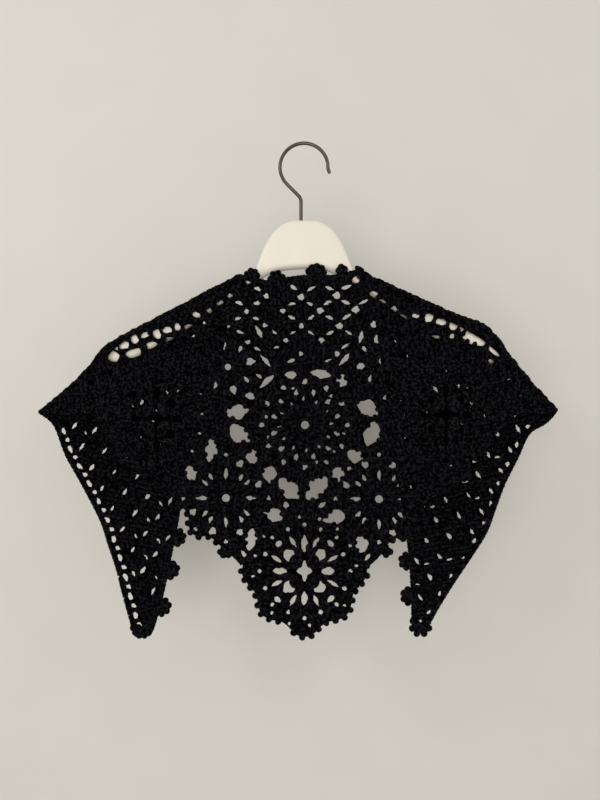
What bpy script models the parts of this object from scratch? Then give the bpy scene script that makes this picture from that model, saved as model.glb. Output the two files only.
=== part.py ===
# A black crochet scarf hung over the arms of a cream hanger with a steel hook.
# The scarf is a lace triangle. Its point hangs in front of the hanger. Its two tails
# go over the arms and hang behind.
# Sizes below are in millimetres, and MM turns them into metres. X is to the right, Z is
# up and -Y faces the viewer. The origin is the inner top of the hook's arc.

import math

import bmesh
import bpy
import numpy as np
from mathutils import Vector
from mathutils.geometry import delaunay_2d_cdt

MM = 0.001

# Cloth
CLOTH = 2.6                 # thickness of the crochet
SEAM = 0.3                  # clearance between neighbouring pieces
CELL = 36.0                 # width of one shell of the ground, along its row
ROW = 14.5                  # height of one row of shells
EDGE_PICOTS = 34.5          # spacing of the picot clusters along the neck edge
PICOT_CLUSTER = 9.0         # radius of one cluster of picots
BORDER_PITCH = {-1: 10.6, 1: 21.0}  # spacing of the meshes along each tail's outer edge
BORDER_INSET = 7.0          # from a tail's outer edge to the middle of those meshes
WEB = 1.1                   # least width of the crochet between two gaps
INNER_PITCH = 15.0          # spacing of the points that let the cloth curve
BLACK_YARN = (0.012, 0.012, 0.016)

# Hanger
ARM_THICK = 14.0
FOLD_RADIUS = ARM_THICK / 2 + 0.6 + CLOTH / 2
SEAM_LINE = -6.2            # the front and the tails meet here, just before the fold
SEAM_STEPS = 30             # pieces of the curved seam
PAST_ENDS = 60.0            # how far the seam's line runs on past both ends of the fold
FAR = 420.0                 # past the cloth's edge on every side
CORNER_RADIUS = 12.5        # of the free fold at the outer corners, past the arms
WIRE = 3.5
HOOK_RADIUS = 24.0
HOOK_TOP = WIRE / 2
SHAFT_X = -3.0
HANGER_TOP = -76.0
SHAFT_IN = 20.0             # how deep the wire sits in the hanger
BORE_HALF = 22.0

# A quarter turn of the fold takes this much more cloth than its radius, per mm of radius
TURN = math.pi / 2 - 1

# Sizes are read off in the hanger's plane from this far in front of it, so what lies
# nearer than that plane is really smaller, and what lies behind is larger.
VIEW_DISTANCE = 600.0
VIEW_X = -4.0
VIEW_Z = -255.0

# The fold's crest over each arm, from the neck edge to the outer corner
CREST = {
    -1: [(-63, -130), (-98, -148), (-132, -166), (-179, -190), (-199, -203), (-214, -222),
         (-237, -245), (-264, -267)],
    1: [(65, -131), (104, -149), (154, -171), (177, -179), (190, -190), (203, -208),
        (222, -232), (237, -249), (252, -265)],
}

# Flower motifs: name, centre x, centre z, half width, half height, kind
FLOWERS = [
    ("flower_neck_left", -76, -222, 25, 25, "wheel"),
    ("flower_neck_right", 79, -217, 24, 24, "wheel"),
    ("flower_middle", 1, -280, 49, 49, "wheel"),
    ("flower_low_left", -79, -353, 42, 42, "wheel"),
    ("flower_low_right", 78, -355, 42, 42, "wheel"),
    ("flower_shoulder_left", -147, -274, 52, 59, "blossom"),
    ("flower_shoulder_right", 142, -270, 53, 58, "blossom"),
    ("flower_point", -1, -429, 62, 65, "blossom"),
]

# Gaps of the joining net on the front: x, z, width, height, tilt in degrees
NET_GAPS = [
    (-91, -301, 12, 17, 10), (-123, -337, 6, 7, -30), (-51, -312, 11, 12, 40),
    (-34, -327, 13, 13, 0), (-15, -343, 19, 22, 15), (14, -343, 20, 22, -15),
    (34, -330, 11, 11, 0), (51, -312, 13, 11, -35), (-30, -369, 16, 9, -20),
    (30, -372, 18, 10, 20), (-56, -394, 8, 13, -15), (57, -398, 8, 11, 15),
    (-67, -267, 20, 14, -10), (-65, -289, 20, 17, 5), (64, -263, 20, 15, 10),
    (68, -289, 18, 19, -5), (-45, -187, 6, 13, -50), (-38, -216, 6, 13, -15),
    (-39, -236, 8, 12, 30), (40, -213, 7, 13, 15), (38, -236, 8, 12, -30),
    (17, -229, 21, 7, 0), (-13, -230, 14, 6, 0), (57, -192, 6, 14, 50),
    (-82, -184, 19, 6, 18), (-54, -251, 11, 7, -20), (83, -252, 9, 6, 20),
    (-102, -247, 6, 6, 0), (96, -190, 12, 6, -25),
]

# Gaps along the shoulders, below the crest: x, z, width, height, tilt in degrees
SHOULDER_GAPS = {
    -1: [(-188, -212, 11, 10, -20), (-186, -202, 4, 8, 25), (-177, -201, 10, 7, 12),
         (-167, -195, 7, 9, 25), (-157, -191, 9, 5, 25), (-145, -190, 7, 9, 20),
         (-135, -186, 9, 6, 10), (-125, -183, 6, 7, 25), (-114, -183, 9, 5, 5),
         (-101, -179, 7, 5, 0), (-168, -209, 15, 8, 18), (-151, -201, 11, 6, 20),
         (-131, -196, 10, 6, -5), (-119, -194, 6, 5, -20), (-110, -190, 7, 5, 0),
         (-106, -171, 8, 5, -20), (-209, -238, 5, 6, 30), (-191, -228, 6, 6, 0),
         (-208, -252, 4, 6, 0), (-216, -263, 5, 5, 0)],
    1: [(183, -200, 11, 8, 25), (165, -190, 10, 9, -15), (153, -184, 8, 7, -20),
        (141, -182, 9, 6, -15), (129, -177, 8, 6, -15), (117, -174, 8, 5, -10),
        (171, -206, 8, 5, -30), (156, -200, 9, 6, -15), (141, -195, 8, 6, -10),
        (127, -190, 9, 5, -5), (112, -187, 7, 5, 0), (199, -221, 5, 6, -30),
        (192, -233, 6, 5, -20), (210, -242, 5, 5, 0), (205, -255, 5, 6, 0)],
}

# Edges of each tail behind the hanger, from the fold down to the tip
TAIL_INNER = {
    -1: [(-97, -262), (-129, -391), (-139, -440), (-148, -474), (-154, -487)],
    1: [(84, -262), (103, -399), (106, -435), (107, -462), (109, -484)],
}
TAIL_OUTER = {
    -1: [(-171, -492), (-175, -471), (-181, -447), (-187, -423), (-195, -399), (-203, -375),
         (-222, -338), (-242, -303), (-254, -281)],
    1: [(119, -492), (135, -462), (151, -435), (167, -411), (182, -387), (191, -363),
        (200, -339), (212, -315), (221, -297), (231, -286), (249, -276)],
}

# Lower edge of the front, from the outer corner towards the point, left and right
FRONT_EDGE = {
    -1: [(-234, -268), (-212, -266), (-198, -281), (-168, -319), (-161, -331), (-138, -347),
         (-114, -358), (-90, -386), (-81, -406), (-66, -418), (-52, -430)],
    1: [(234, -267), (211, -267), (191, -288), (168, -310), (161, -331), (138, -347),
        (109, -361), (87, -389), (77, -407), (64, -420), (50, -430)],
}
NECK_FRONT = [(40, -130), (0, -131), (-40, -134)]

# Where the front layer swells towards the viewer: rise, then x, z, half width, half height
SWELLS = [
    (24, -146, -283, 52, 56), (24, 146, -278, 52, 56), (5, -225, -262, 30, 24),
    (5, 220, -262, 30, 24), (-5.5, 0, -225, 46, 60), (5, 0, -470, 80, 60),
    (6, -80, -372, 38, 38), (6, 80, -374, 38, 38),
]
FRONT_WAVE = 1.6            # height of the slight waves of the front's lower part
TAIL_SAG = 7.0              # how far the tails hang off behind the arms
TAIL_WAVE = 4.0

# A gap between four shells on the front's middle line
CENTRE_SHELL = (-2, -181)

# Shells of the tails, seen from the front: first gap and the two steps to the next ones
TAIL_GAPS = {
    -1: {"first": (-202, -343), "along": (10.2, -20.6), "across": (22.7, -4.3), "tilt": 58},
    1: {"first": (168, -387), "along": (-9.6, -20.5), "across": (-22.7, -4.3), "tilt": -58},
}


def smooth_step(value):
    value = min(max(value, 0.0), 1.0)
    return value * value * (3 - 2 * value)


class Fold:
    """The cloth's fold over one arm, about the straight line between its ends."""

    def __init__(self, side):
        crest = CREST[side]
        self.start = np.array(crest[0], float)
        end = np.array(crest[-1], float)
        self.length = np.linalg.norm(end - self.start)
        self.along = (end - self.start) / self.length
        self.out = np.array([-self.along[1], self.along[0]]) * side
        self.stations = [float((np.array(p) - self.start) @ self.along) for p in crest]
        self.rises = [float((np.array(p) - self.start) @ self.out) for p in crest]

    def rise(self, t):
        """How far the crest stands out from the straight line, by a smooth curve."""
        if t <= self.stations[0] or t >= self.stations[-1]:
            return 0.0
        xs = self.stations
        ys = self.rises
        i = max(k for k in range(len(xs) - 1) if xs[k] <= t)
        span = xs[i + 1] - xs[i]
        u = (t - xs[i]) / span
        slope = [0.0] * len(xs)
        for k in range(1, len(xs) - 1):
            slope[k] = (ys[k + 1] - ys[k - 1]) / (xs[k + 1] - xs[k - 1])
        slope[0] = ys[1] / xs[1]
        slope[-1] = -ys[-2] / (xs[-1] - xs[-2])
        a = ys[i] * (1 + 2 * u) * (1 - u) ** 2 + slope[i] * span * u * (1 - u) ** 2
        b = ys[i + 1] * u * u * (3 - 2 * u) + slope[i + 1] * span * u * u * (u - 1)
        return a + b

    def fade(self, distance):
        return smooth_step(1 - abs(distance) / 115.0)

    def radius(self, t):
        wider = smooth_step((t / self.length - 0.62) / 0.38)
        return FOLD_RADIUS + (CORNER_RADIUS - FOLD_RADIUS) * wider

    def split(self, point):
        offset = np.asarray(point, float) - self.start
        return float(offset @ self.along), float(offset @ self.out)

    def point(self, t, q):
        return self.start + self.along * t + self.out * q


FOLDS = {-1: Fold(-1), 1: Fold(1)}


def flat_from_front(point):
    """The place on the flat cloth of a point seen on the front layer."""
    fold = FOLDS[-1 if point[0] < 0 else 1]
    t, q = fold.split(point)
    radius = fold.radius(t)
    flat = q
    for _ in range(6):
        plane = q - fold.rise(t) * fold.fade(flat - TURN * radius)
        if plane > -radius:
            angle = math.acos(max(1 + min(plane, 0.0) / radius, 0.0))
            flat = -angle * radius + TURN * radius
        else:
            flat = plane
    return fold.point(t, flat)


def flat_from_back(point, side):
    """The place on the flat cloth of a point seen on the tail behind the hanger."""
    fold = FOLDS[side]
    t, q = fold.split(point)
    radius = fold.radius(t)
    beyond = TURN * radius
    distance = -q
    for _ in range(6):
        plane = q - fold.rise(t) * fold.fade(distance)
        distance = -plane + beyond
    return fold.point(t, distance + beyond)


def bump(x, z, centre_x, centre_z, half_width, half_height):
    u = (x - centre_x) / half_width
    v = (z - centre_z) / half_height
    return math.exp(-(u * u + v * v))


def front_swell(x, z):
    """How far the front layer stands out towards the viewer past the hanger's face."""
    swell = sum(rise * bump(x, z, *where) for rise, *where in SWELLS)
    waves = FRONT_WAVE * math.sin(x / 19.0) * smooth_step((-z - 280) / 120)
    return swell + waves


def back_sag(x, z):
    """How far the tails stand off behind the arms."""
    depth = smooth_step((-z - 200) / 260)
    return depth * (TAIL_SAG + TAIL_WAVE * math.sin(x / 17.0 + z / 60.0))


def place(u, v):
    """Where a point of the flat cloth lies once it hangs, as x, y, z."""
    fold = FOLDS[-1 if u < 0 else 1]
    t, q = fold.split((u, v))
    radius = fold.radius(t)
    distance = q - TURN * radius
    quarter = math.pi / 2 * radius
    if distance <= -quarter:
        plane = q
        depth = -radius
    elif distance < quarter:
        plane = -radius * (1 - math.cos(distance / radius))
        depth = radius * math.sin(distance / radius)
    else:
        plane = -(distance - quarter + radius)
        depth = radius
    settle = smooth_step((abs(distance) - quarter) / 45.0)
    if distance < 0:
        depth = depth + (radius - FOLD_RADIUS) * smooth_step((-distance - quarter) / 90.0)
    x, z = fold.point(t, plane + fold.rise(t) * fold.fade(distance))
    if distance < 0:
        depth -= front_swell(x, z) * settle
    else:
        depth += back_sag(x, z) * settle
    near = 1 + depth / VIEW_DISTANCE * settle
    return np.array([VIEW_X + (x - VIEW_X) * near, depth, VIEW_Z + (z - VIEW_Z) * near])


def outward(u, v):
    """The cloth's outer normal at a point of the flat cloth."""
    step = 0.4
    across = place(u + step, v) - place(u - step, v)
    up = place(u, v + step) - place(u, v - step)
    normal = np.cross(across, up)
    return normal / np.linalg.norm(normal)


def ring(x, z, width, height, tilt=0.0, count=6, turn=0.0):
    """A closed loop of points round an ellipse."""
    c = math.cos(math.radians(tilt))
    s = math.sin(math.radians(tilt))
    points = []
    for k in range(count):
        a = 2 * math.pi * k / count + turn
        dx = width / 2 * math.cos(a)
        dz = height / 2 * math.sin(a)
        points.append((x + dx * c - dz * s, z + dx * s + dz * c))
    return points


def flat_front_loop(points):
    return [tuple(flat_from_front(p)) for p in points]


def flat_back_loop(points, side):
    return [tuple(flat_from_back(p, side)) for p in points]


def along_path(path, spacing, first):
    """Points at even spacing along an open path, with the direction of the path there."""
    found = []
    travelled = 0.0
    target = first
    for a, b in zip(path[:-1], path[1:]):
        a = np.array(a, float)
        b = np.array(b, float)
        span = np.linalg.norm(b - a)
        while target <= travelled + span:
            u = (target - travelled) / span
            found.append((a + (b - a) * u, (b - a) / span))
            target += spacing
        travelled += span
    return found


def with_picots(path, spacing, first, side_out):
    """The path with a scalloped half round of picots standing out of it at even spacing."""
    clusters = along_path(path, spacing, first)[:-1]
    points = []
    travelled = 0.0
    marks = [first + spacing * k for k in range(len(clusters))]
    following = 0
    for a, b in zip(path[:-1], path[1:]):
        a = np.array(a, float)
        b = np.array(b, float)
        span = np.linalg.norm(b - a)
        if not any(abs(travelled - m) < PICOT_CLUSTER + 2 for m in marks):
            points.append(tuple(a))
        while following < len(marks) and marks[following] <= travelled + span:
            centre, heading = clusters[following]
            following += 1
            if min(abs(FOLDS[side].split(centre)[1] - SEAM_LINE) for side in FOLDS) < 12:
                points.append(tuple(centre))
                continue
            out = np.array([-heading[1], heading[0]]) * side_out
            for k in range(13):
                a_out = math.pi * k / 12
                reach = PICOT_CLUSTER * (0.88 if k % 3 == 0 else 1.14)
                spot = centre - heading * reach * math.cos(a_out) + out * reach * math.sin(a_out)
                points.append(tuple(spot))
        travelled += span
    points.append(tuple(path[-1]))
    return points


def finer_at_folds(loop):
    """The loop with more points where it turns over an arm."""
    points = []
    for a, b in zip(loop, loop[1:] + loop[:1]):
        a = np.array(a, float)
        b = np.array(b, float)
        steps = max(1, int(np.linalg.norm(b - a) / 3.0))
        points.append(tuple(a))
        for k in range(1, steps):
            spot = a + (b - a) * k / steps
            nearest = min(abs(FOLDS[side].split(spot)[1] - 5.0) for side in FOLDS)
            if nearest < 16:
                points.append(tuple(spot))
    return points


def cloth_outline():
    """The outline of the whole flat cloth: the neck edge, then the lower edge."""
    neck = []
    neck += flat_back_loop(TAIL_INNER[1][::-1], 1)
    neck.append(tuple(FOLDS[1].point(0, TURN * FOLD_RADIUS)))
    neck += flat_front_loop(NECK_FRONT)
    neck.append(tuple(FOLDS[-1].point(0, TURN * FOLD_RADIUS)))
    neck += flat_back_loop(TAIL_INNER[-1], -1)
    neck = with_picots(neck, EDGE_PICOTS, 12.0, -1)
    lower = flat_back_loop(TAIL_OUTER[-1], -1)
    lower.append(tuple(FOLDS[-1].point(FOLDS[-1].length, TURN * CORNER_RADIUS)))
    lower += flat_front_loop(FRONT_EDGE[-1])
    lower += flat_front_loop([(0, -440)])
    lower += flat_front_loop(FRONT_EDGE[1][::-1])
    lower.append(tuple(FOLDS[1].point(FOLDS[1].length, TURN * CORNER_RADIUS)))
    lower += flat_back_loop(TAIL_OUTER[1][::-1], 1)
    return finer_at_folds(neck + lower)


def seam_points(fold, q):
    """Points along a line beside the fold, close enough together to follow its curve."""
    whole = fold.length + 2 * PAST_ENDS
    return [fold.point(whole * k / SEAM_STEPS - PAST_ENDS, q) for k in range(SEAM_STEPS + 1)]


def tail_side_loop(side):
    """A loop round everything of the flat cloth on the tail's side of the seam."""
    fold = FOLDS[side]
    loop = seam_points(fold, SEAM_LINE)
    loop.append(fold.point(fold.length + PAST_ENDS, SEAM_LINE + FAR))
    loop.append(fold.point(-PAST_ENDS, SEAM_LINE + FAR))
    return [tuple(p) for p in loop]


def front_side_loop(side):
    """A loop round everything of the flat cloth that isn't on one tail's side of the seam."""
    fold = FOLDS[side]
    seam = seam_points(fold, SEAM_LINE + SEAM)
    loop = [fold.point(-PAST_ENDS, SEAM_LINE + FAR)] + seam
    loop.append(np.array([seam[-1][0], -2 * FAR]))
    loop.append(np.array([-side * 2 * FAR, -2 * FAR]))
    loop.append(np.array([-side * 2 * FAR, FAR]))
    return [tuple(p) for p in loop]


def distance_to_loop(point, loop):
    a = np.array(loop, float)
    b = np.roll(a, -1, axis=0)
    p = np.array(point, float)
    span = b - a
    u = np.clip(((p - a) * span).sum(1) / np.maximum((span * span).sum(1), 1e-9), 0, 1)
    return float(np.linalg.norm(a + span * u[:, None] - p, axis=1).min())


def inside(point, loop):
    a = np.array(loop, float)
    b = np.roll(a, -1, axis=0)
    x, z = point
    spans = (a[:, 1] > z) != (b[:, 1] > z)
    rise = np.where(spans, b[:, 1] - a[:, 1], 1.0)
    crossing = (b[:, 0] - a[:, 0]) * (z - a[:, 1]) / rise + a[:, 0]
    return bool(np.count_nonzero(spans & (x < crossing)) % 2)


def counterclockwise(loop):
    a = np.array(loop, float)
    b = np.roll(a, -1, axis=0)
    area = (a[:, 0] * b[:, 1] - b[:, 0] * a[:, 1]).sum()
    return loop if area > 0 else loop[::-1]


def clear_gaps(gaps, outline, cuts, margin):
    """The gaps that lie inside the outline, clear of its edge, of the cuts and each other."""
    kept = []
    for gap in gaps:
        if not all(inside(p, outline) for p in gap):
            continue
        if any(distance_to_loop(p, outline) < margin for p in gap):
            continue
        if any(inside(p, cut) or distance_to_loop(p, cut) < margin for p in gap for cut in cuts):
            continue
        if any(inside(p, cut) for cut in kept for p in gap):
            continue
        if any(distance_to_loop(p, cut) < margin for cut in kept for p in gap):
            continue
        kept.append(gap)
    return kept


def sheet_mesh(name, outline, holes, guides, inner_points, colour):
    """A cloth piece: the flat outline less its holes, hung up and given its thickness."""
    points = []
    edges = []
    faces = []
    for loop in [outline] + holes:
        first = len(points)
        points += [Vector(p) for p in counterclockwise(loop)]
        faces.append(list(range(first, first + len(loop))))
    for guide in guides:
        first = len(points)
        points += [Vector(p) for p in guide]
        edges += [(first + k, first + k + 1) for k in range(len(guide) - 1)]
    points += [Vector(p) for p in inner_points]
    flat, _, triangles, _, _, sources = delaunay_2d_cdt(points, edges, faces, 0, 1e-4)
    kept = [t for t, source in zip(triangles, sources) if source == [0]]
    used = sorted({k for t in kept for k in t})
    renumber = {old: new for new, old in enumerate(used)}
    bm = bmesh.new()
    outer = []
    inner = []
    for k in used:
        u, v = flat[k]
        spot = place(u, v)
        shift = outward(u, v) * CLOTH / 2
        outer.append(bm.verts.new((spot + shift) * MM))
        inner.append(bm.verts.new((spot - shift) * MM))
    borders = {}
    for t in kept:
        a, b, c = (renumber[k] for k in t)
        bm.faces.new((outer[a], outer[b], outer[c]))
        bm.faces.new((inner[c], inner[b], inner[a]))
        for start, end in ((a, b), (b, c), (c, a)):
            borders[(start, end)] = borders.get((start, end), 0) + 1
    for start, end in borders:
        if (end, start) not in borders:
            bm.faces.new((outer[end], outer[start], inner[start], inner[end]))
    bmesh.ops.recalc_face_normals(bm, faces=bm.faces[:])
    finish(name, bm, colour, 1.0, 0.0)


def finish(name, bm, colour, roughness, metallic):
    mesh = bpy.data.meshes.new(name)
    bm.to_mesh(mesh)
    bm.free()
    mesh.shade_smooth()
    mesh.set_sharp_from_angle(angle=math.radians(40))
    material = bpy.data.materials.new(name)
    material.use_nodes = True
    shader = material.node_tree.nodes["Principled BSDF"]
    shader.inputs["Base Color"].default_value = (*colour, 1)
    shader.inputs["Roughness"].default_value = roughness
    shader.inputs["Metallic"].default_value = metallic
    mesh.materials.append(material)
    thing = bpy.data.objects.new(name, mesh)
    bpy.context.scene.collection.objects.link(thing)
    return thing


def grid_points(outline, holes, pitch):
    """Inner points on an even grid, clear of every edge, so that the cloth can curve."""
    a = np.array(outline)
    low = a.min(0)
    high = a.max(0)
    points = []
    rows = int((high[1] - low[1]) / pitch)
    columns = int((high[0] - low[0]) / pitch)
    for j in range(rows + 1):
        for i in range(columns + 1):
            spot = (low[0] + (i + 0.5 * (j % 2)) * pitch, low[1] + j * pitch)
            if not inside(spot, outline) or distance_to_loop(spot, outline) < 0.35 * pitch:
                continue
            if any(inside(spot, h) or distance_to_loop(spot, h) < 0.35 * pitch for h in holes):
                continue
            points.append(spot)
    return points


def flower_outline(row):
    """A motif's edge of round bobbles."""
    _, x, z, half_width, half_height, kind = row
    bobbles = max(12, int(round((half_width + half_height) / 2 * 0.5)))
    points = []
    for k in range(bobbles * 4):
        a = 2 * math.pi * k / (bobbles * 4)
        dip = (0.0, -0.4, -2.4, -0.4)[k % 4]
        points.append((x + (half_width + dip) * math.cos(a), z + (half_height + dip) * math.sin(a)))
    return flat_front_loop(points)


def flower_gaps(row):
    """The openings of one motif, ring by ring: how many, radius, first angle, length, width."""
    name, x, z, half_width, half_height, kind = row
    rings = []
    if kind == "blossom":
        scale = half_width / 62.0
        rings.append((1, 0, 0, 11, 11))
        rings.append((4, 26.5, 0, 16, 8))
        rings.append((4, 19, 45, 11, 10))
        if name == "flower_point":
            rings.append((8, 33, 22.5, 13, 4.5))
    else:
        scale = max(half_width / 48.0, 0.75)
        rings.append((1, 0, 0, 8.5, 8.5))
        if half_width > 30:
            count = 12 if half_width > 45 else 8
            rings.append((count, 32, 180 / count, 7.5, 5.5))
    gaps = []
    for count, radius, first, length, width in rings:
        for k in range(count):
            a = math.radians(first) + 2 * math.pi * k / count
            gx = x + radius * scale * math.cos(a)
            gz = z + radius * scale * math.sin(a) * half_height / half_width
            sides = 8 if count == 1 else 6
            gap = ring(gx, gz, length * scale, width * scale, math.degrees(a), sides)
            gaps.append(flat_front_loop(gap))
    return gaps


def flower_disc(row):
    """The round hole that the ground leaves for a motif."""
    _, x, z, half_width, half_height, _ = row
    return flat_front_loop(ring(x, z, 2 * (half_width + SEAM), 2 * (half_height + SEAM), 0, 44))


def diamond(x, z, width, height, tilt=0.0):
    return ring(x, z, width, height, tilt, 4)


def centre_gaps():
    """The gaps of the ground below the neck: one at each shell's corner, two at its sides."""
    gaps = []
    for j in range(-4, 6):
        for i in range(-4, 5):
            x = CENTRE_SHELL[0] + CELL * (i + 0.5 * (j % 2))
            z = CENTRE_SHELL[1] - ROW * j
            if abs(x) > 104 - 5 * abs(j) or z < -226:
                continue
            gaps.append(flat_front_loop(diamond(x, z, 8.5, 7.5)))
    return gaps


def tail_gaps(side):
    """The slanted gaps between the shells of one tail."""
    step = TAIL_GAPS[side]
    gaps = []
    for j in range(-12, 9):
        for i in range(-4, 12):
            x = step["first"][0] + i * step["across"][0] + j * step["along"][0]
            z = step["first"][1] + i * step["across"][1] + j * step["along"][1]
            gap = flat_back_loop(diamond(x, z, 10.5, 5.4, step["tilt"]), side)
            if FOLDS[side].split(gap[0])[1] > 2.5 * FOLD_RADIUS:
                gaps.append(gap)
    return gaps


def border_gaps(side):
    """The square meshes just inside one tail's outer edge."""
    path = TAIL_OUTER[side][::-1]
    inward = -1 if side < 0 else 1
    gaps = []
    for centre, heading in along_path(path, BORDER_PITCH[side], 16.0):
        left = np.array([-heading[1], heading[0]]) * inward * -1
        spot = centre + left * BORDER_INSET
        tilt = math.degrees(math.atan2(heading[1], heading[0]))
        corners = ring(spot[0], spot[1], 9.5, 7.0, tilt, 4, math.pi / 4)
        gaps.append(flat_back_loop(corners, side))
    return gaps


def fold_guides(side):
    """Lines along the fold, so that the cloth turns over the arm in even steps."""
    fold = FOLDS[side]
    guides = []
    for k in range(-3, 5):
        q = TURN * FOLD_RADIUS + k * math.pi / 8 * FOLD_RADIUS
        guides.append([tuple(fold.point(-14.0 + 16.0 * n, q)) for n in range(17)])
    return guides


def cut_guides(guides, outline):
    """Each guide kept only where it lies inside the outline."""
    kept = []
    for guide in guides:
        run = [p for p in guide if inside(p, outline) and distance_to_loop(p, outline) > 1.5]
        if len(run) > 1:
            kept.append(run)
    return kept


def build_cloth():
    outline = cloth_outline()
    discs = [flower_disc(row) for row in FLOWERS]
    front_cuts = [tail_side_loop(side) for side in (-1, 1)]

    gaps = [flat_front_loop(ring(*gap, count=8)) for gap in NET_GAPS]
    for side in (-1, 1):
        gaps += [flat_front_loop(ring(*gap, count=4, turn=0.6)) for gap in SHOULDER_GAPS[side]]
    gaps += centre_gaps()
    gaps = clear_gaps(gaps, outline, discs + front_cuts, WEB)
    inner = grid_points(outline, gaps + discs + front_cuts, INNER_PITCH)
    sheet_mesh("ground_front", outline, discs + front_cuts + gaps, [], inner, BLACK_YARN)

    for side, word in ((-1, "left"), (1, "right")):
        cut = front_side_loop(side)
        gaps = border_gaps(side) + tail_gaps(side)
        gaps = clear_gaps(gaps, outline, [cut], WEB)
        inner = grid_points(outline, gaps + [cut], INNER_PITCH)
        guides = cut_guides(fold_guides(side), outline)
        sheet_mesh("tail_" + word, outline, [cut] + gaps, guides, inner, BLACK_YARN)

    for row in FLOWERS:
        edge = flower_outline(row)
        gaps = clear_gaps(flower_gaps(row), edge, [], WEB - 0.1)
        inner = grid_points(edge, gaps, INNER_PITCH - 1.0)
        sheet_mesh(row[0], edge, gaps, [], inner, BLACK_YARN)


def hanger_sections():
    """The hanger's height at each place from its middle outwards: x, top, bottom."""
    return [(0, HANGER_TOP, -124), (13, -76.5, -124.6), (22, -80, -126), (30, -86.5, -128.5),
            (37, -96, -131), (42, -107, -134), (46, -118, -137), (50, -127.5, -140),
            (55, -134, -143.5), (63, -138, -147.5), (80, -146.4, -159), (98, -153.5, -171),
            (132, -170, -194), (160, -184, -210), (176, -193.5, -217), (186, -201.5, -219.5),
            (192, -206.5, -218.5), (195, -210.5, -216)]


def build_hanger():
    """The hanger: upright rings with round tops, swept from one arm's end to the other's."""
    half = [(x, top, low) for x, top, low in hanger_sections()]
    rows = [(-x, top, low) for x, top, low in half[:0:-1]] + half
    steps = 6
    bm = bmesh.new()
    rings = []
    for k, (x, top, low) in enumerate(rows):
        before = rows[max(k - 1, 0)]
        after = rows[min(k + 1, len(rows) - 1)]
        slope = (after[1] - before[1]) / (after[0] - before[0])
        round_height = min(ARM_THICK / 2 * math.hypot(1, slope), (top - low) / 2 - 0.5)
        thick = ARM_THICK / 2 * (1 - 0.35 * smooth_step((abs(x) - 184) / 11))
        loop = []
        for n in range(steps + 1):
            a = math.pi * n / steps - math.pi / 2
            z = top - round_height + round_height * math.cos(a)
            loop.append(bm.verts.new(Vector((x, thick * math.sin(a), z)) * MM))
        for n in range(steps + 1):
            a = math.pi / 2 - math.pi * n / steps
            z = low + round_height - round_height * math.cos(a)
            loop.append(bm.verts.new(Vector((x, thick * math.sin(a), z)) * MM))
        rings.append(loop)
    for a, b in zip(rings[:-1], rings[1:]):
        for n in range(len(a)):
            m = (n + 1) % len(a)
            bm.faces.new((a[n], b[n], b[m], a[m]))
    bm.faces.new(rings[0])
    bm.faces.new(rings[-1][::-1])
    bmesh.ops.recalc_face_normals(bm, faces=bm.faces[:])
    body = finish("hanger_body", bm, (0.80, 0.78, 0.72), 0.45, 0.0)

    bore = bmesh.new()
    bmesh.ops.create_cone(bore, cap_ends=True, segments=20, radius1=(WIRE / 2 + SEAM) * MM,
                          radius2=(WIRE / 2 + SEAM) * MM, depth=2 * BORE_HALF * MM)
    mesh = bpy.data.meshes.new("shaft_bore")
    bore.to_mesh(mesh)
    bore.free()
    cutter = bpy.data.objects.new("shaft_bore", mesh)
    bpy.context.scene.collection.objects.link(cutter)
    cutter.location = (SHAFT_X * MM, 0, HANGER_TOP * MM)
    cutter.hide_render = True
    cutter.display_type = "WIRE"
    cut = body.modifiers.new("shaft_bore", "BOOLEAN")
    cut.operation = "DIFFERENCE"
    cut.object = cutter


def hook_path():
    """The wire's centreline: the round hook, then the slanted neck and the shaft."""
    centre_z = HOOK_TOP - HOOK_RADIUS
    path = [(HOOK_RADIUS + 1.6, centre_z - 6.0)]
    for k in range(19):
        a = math.radians(-2 + 226 * k / 18)
        path.append((HOOK_RADIUS * math.cos(a), centre_z + HOOK_RADIUS * math.sin(a)))
    bend = 9.0
    turn_z = -57.0
    for k in range(5):
        a = math.radians(46 - 46 * k / 4)
        path.append((SHAFT_X - bend + bend * math.cos(a), turn_z + bend * math.sin(a)))
    path.append((SHAFT_X, HANGER_TOP - SHAFT_IN))
    return path


def build_hook():
    path = [np.array(p) for p in hook_path()]
    sides = 10
    bm = bmesh.new()
    rings = []
    for k, spot in enumerate(path):
        heading = path[min(k + 1, len(path) - 1)] - path[max(k - 1, 0)]
        heading = heading / np.linalg.norm(heading)
        across = np.array([-heading[1], heading[0]])
        loop = []
        for n in range(sides):
            a = 2 * math.pi * n / sides
            offset = across * math.cos(a) * WIRE / 2
            depth = math.sin(a) * WIRE / 2
            loop.append(bm.verts.new(Vector((spot[0] + offset[0], depth, spot[1] + offset[1])) * MM))
        rings.append(loop)
    for a, b in zip(rings[:-1], rings[1:]):
        for n in range(sides):
            m = (n + 1) % sides
            bm.faces.new((a[n], b[n], b[m], a[m]))
    for loop, spot, inner in ((rings[0], path[0], path[1]), (rings[-1], path[-1], path[-2])):
        heading = (spot - inner) / np.linalg.norm(spot - inner)
        tip = spot + heading * WIRE * 0.3
        top = bm.verts.new(Vector((tip[0], 0, tip[1])) * MM)
        for n in range(sides):
            bm.faces.new((loop[n], loop[(n + 1) % sides], top))
    bmesh.ops.recalc_face_normals(bm, faces=bm.faces[:])
    finish("hanger_hook", bm, (0.05, 0.05, 0.05), 0.35, 1.0)


def main():
    for thing in list(bpy.data.objects):
        bpy.data.objects.remove(thing, do_unlink=True)
    build_hanger()
    build_hook()
    build_cloth()


main()
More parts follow.
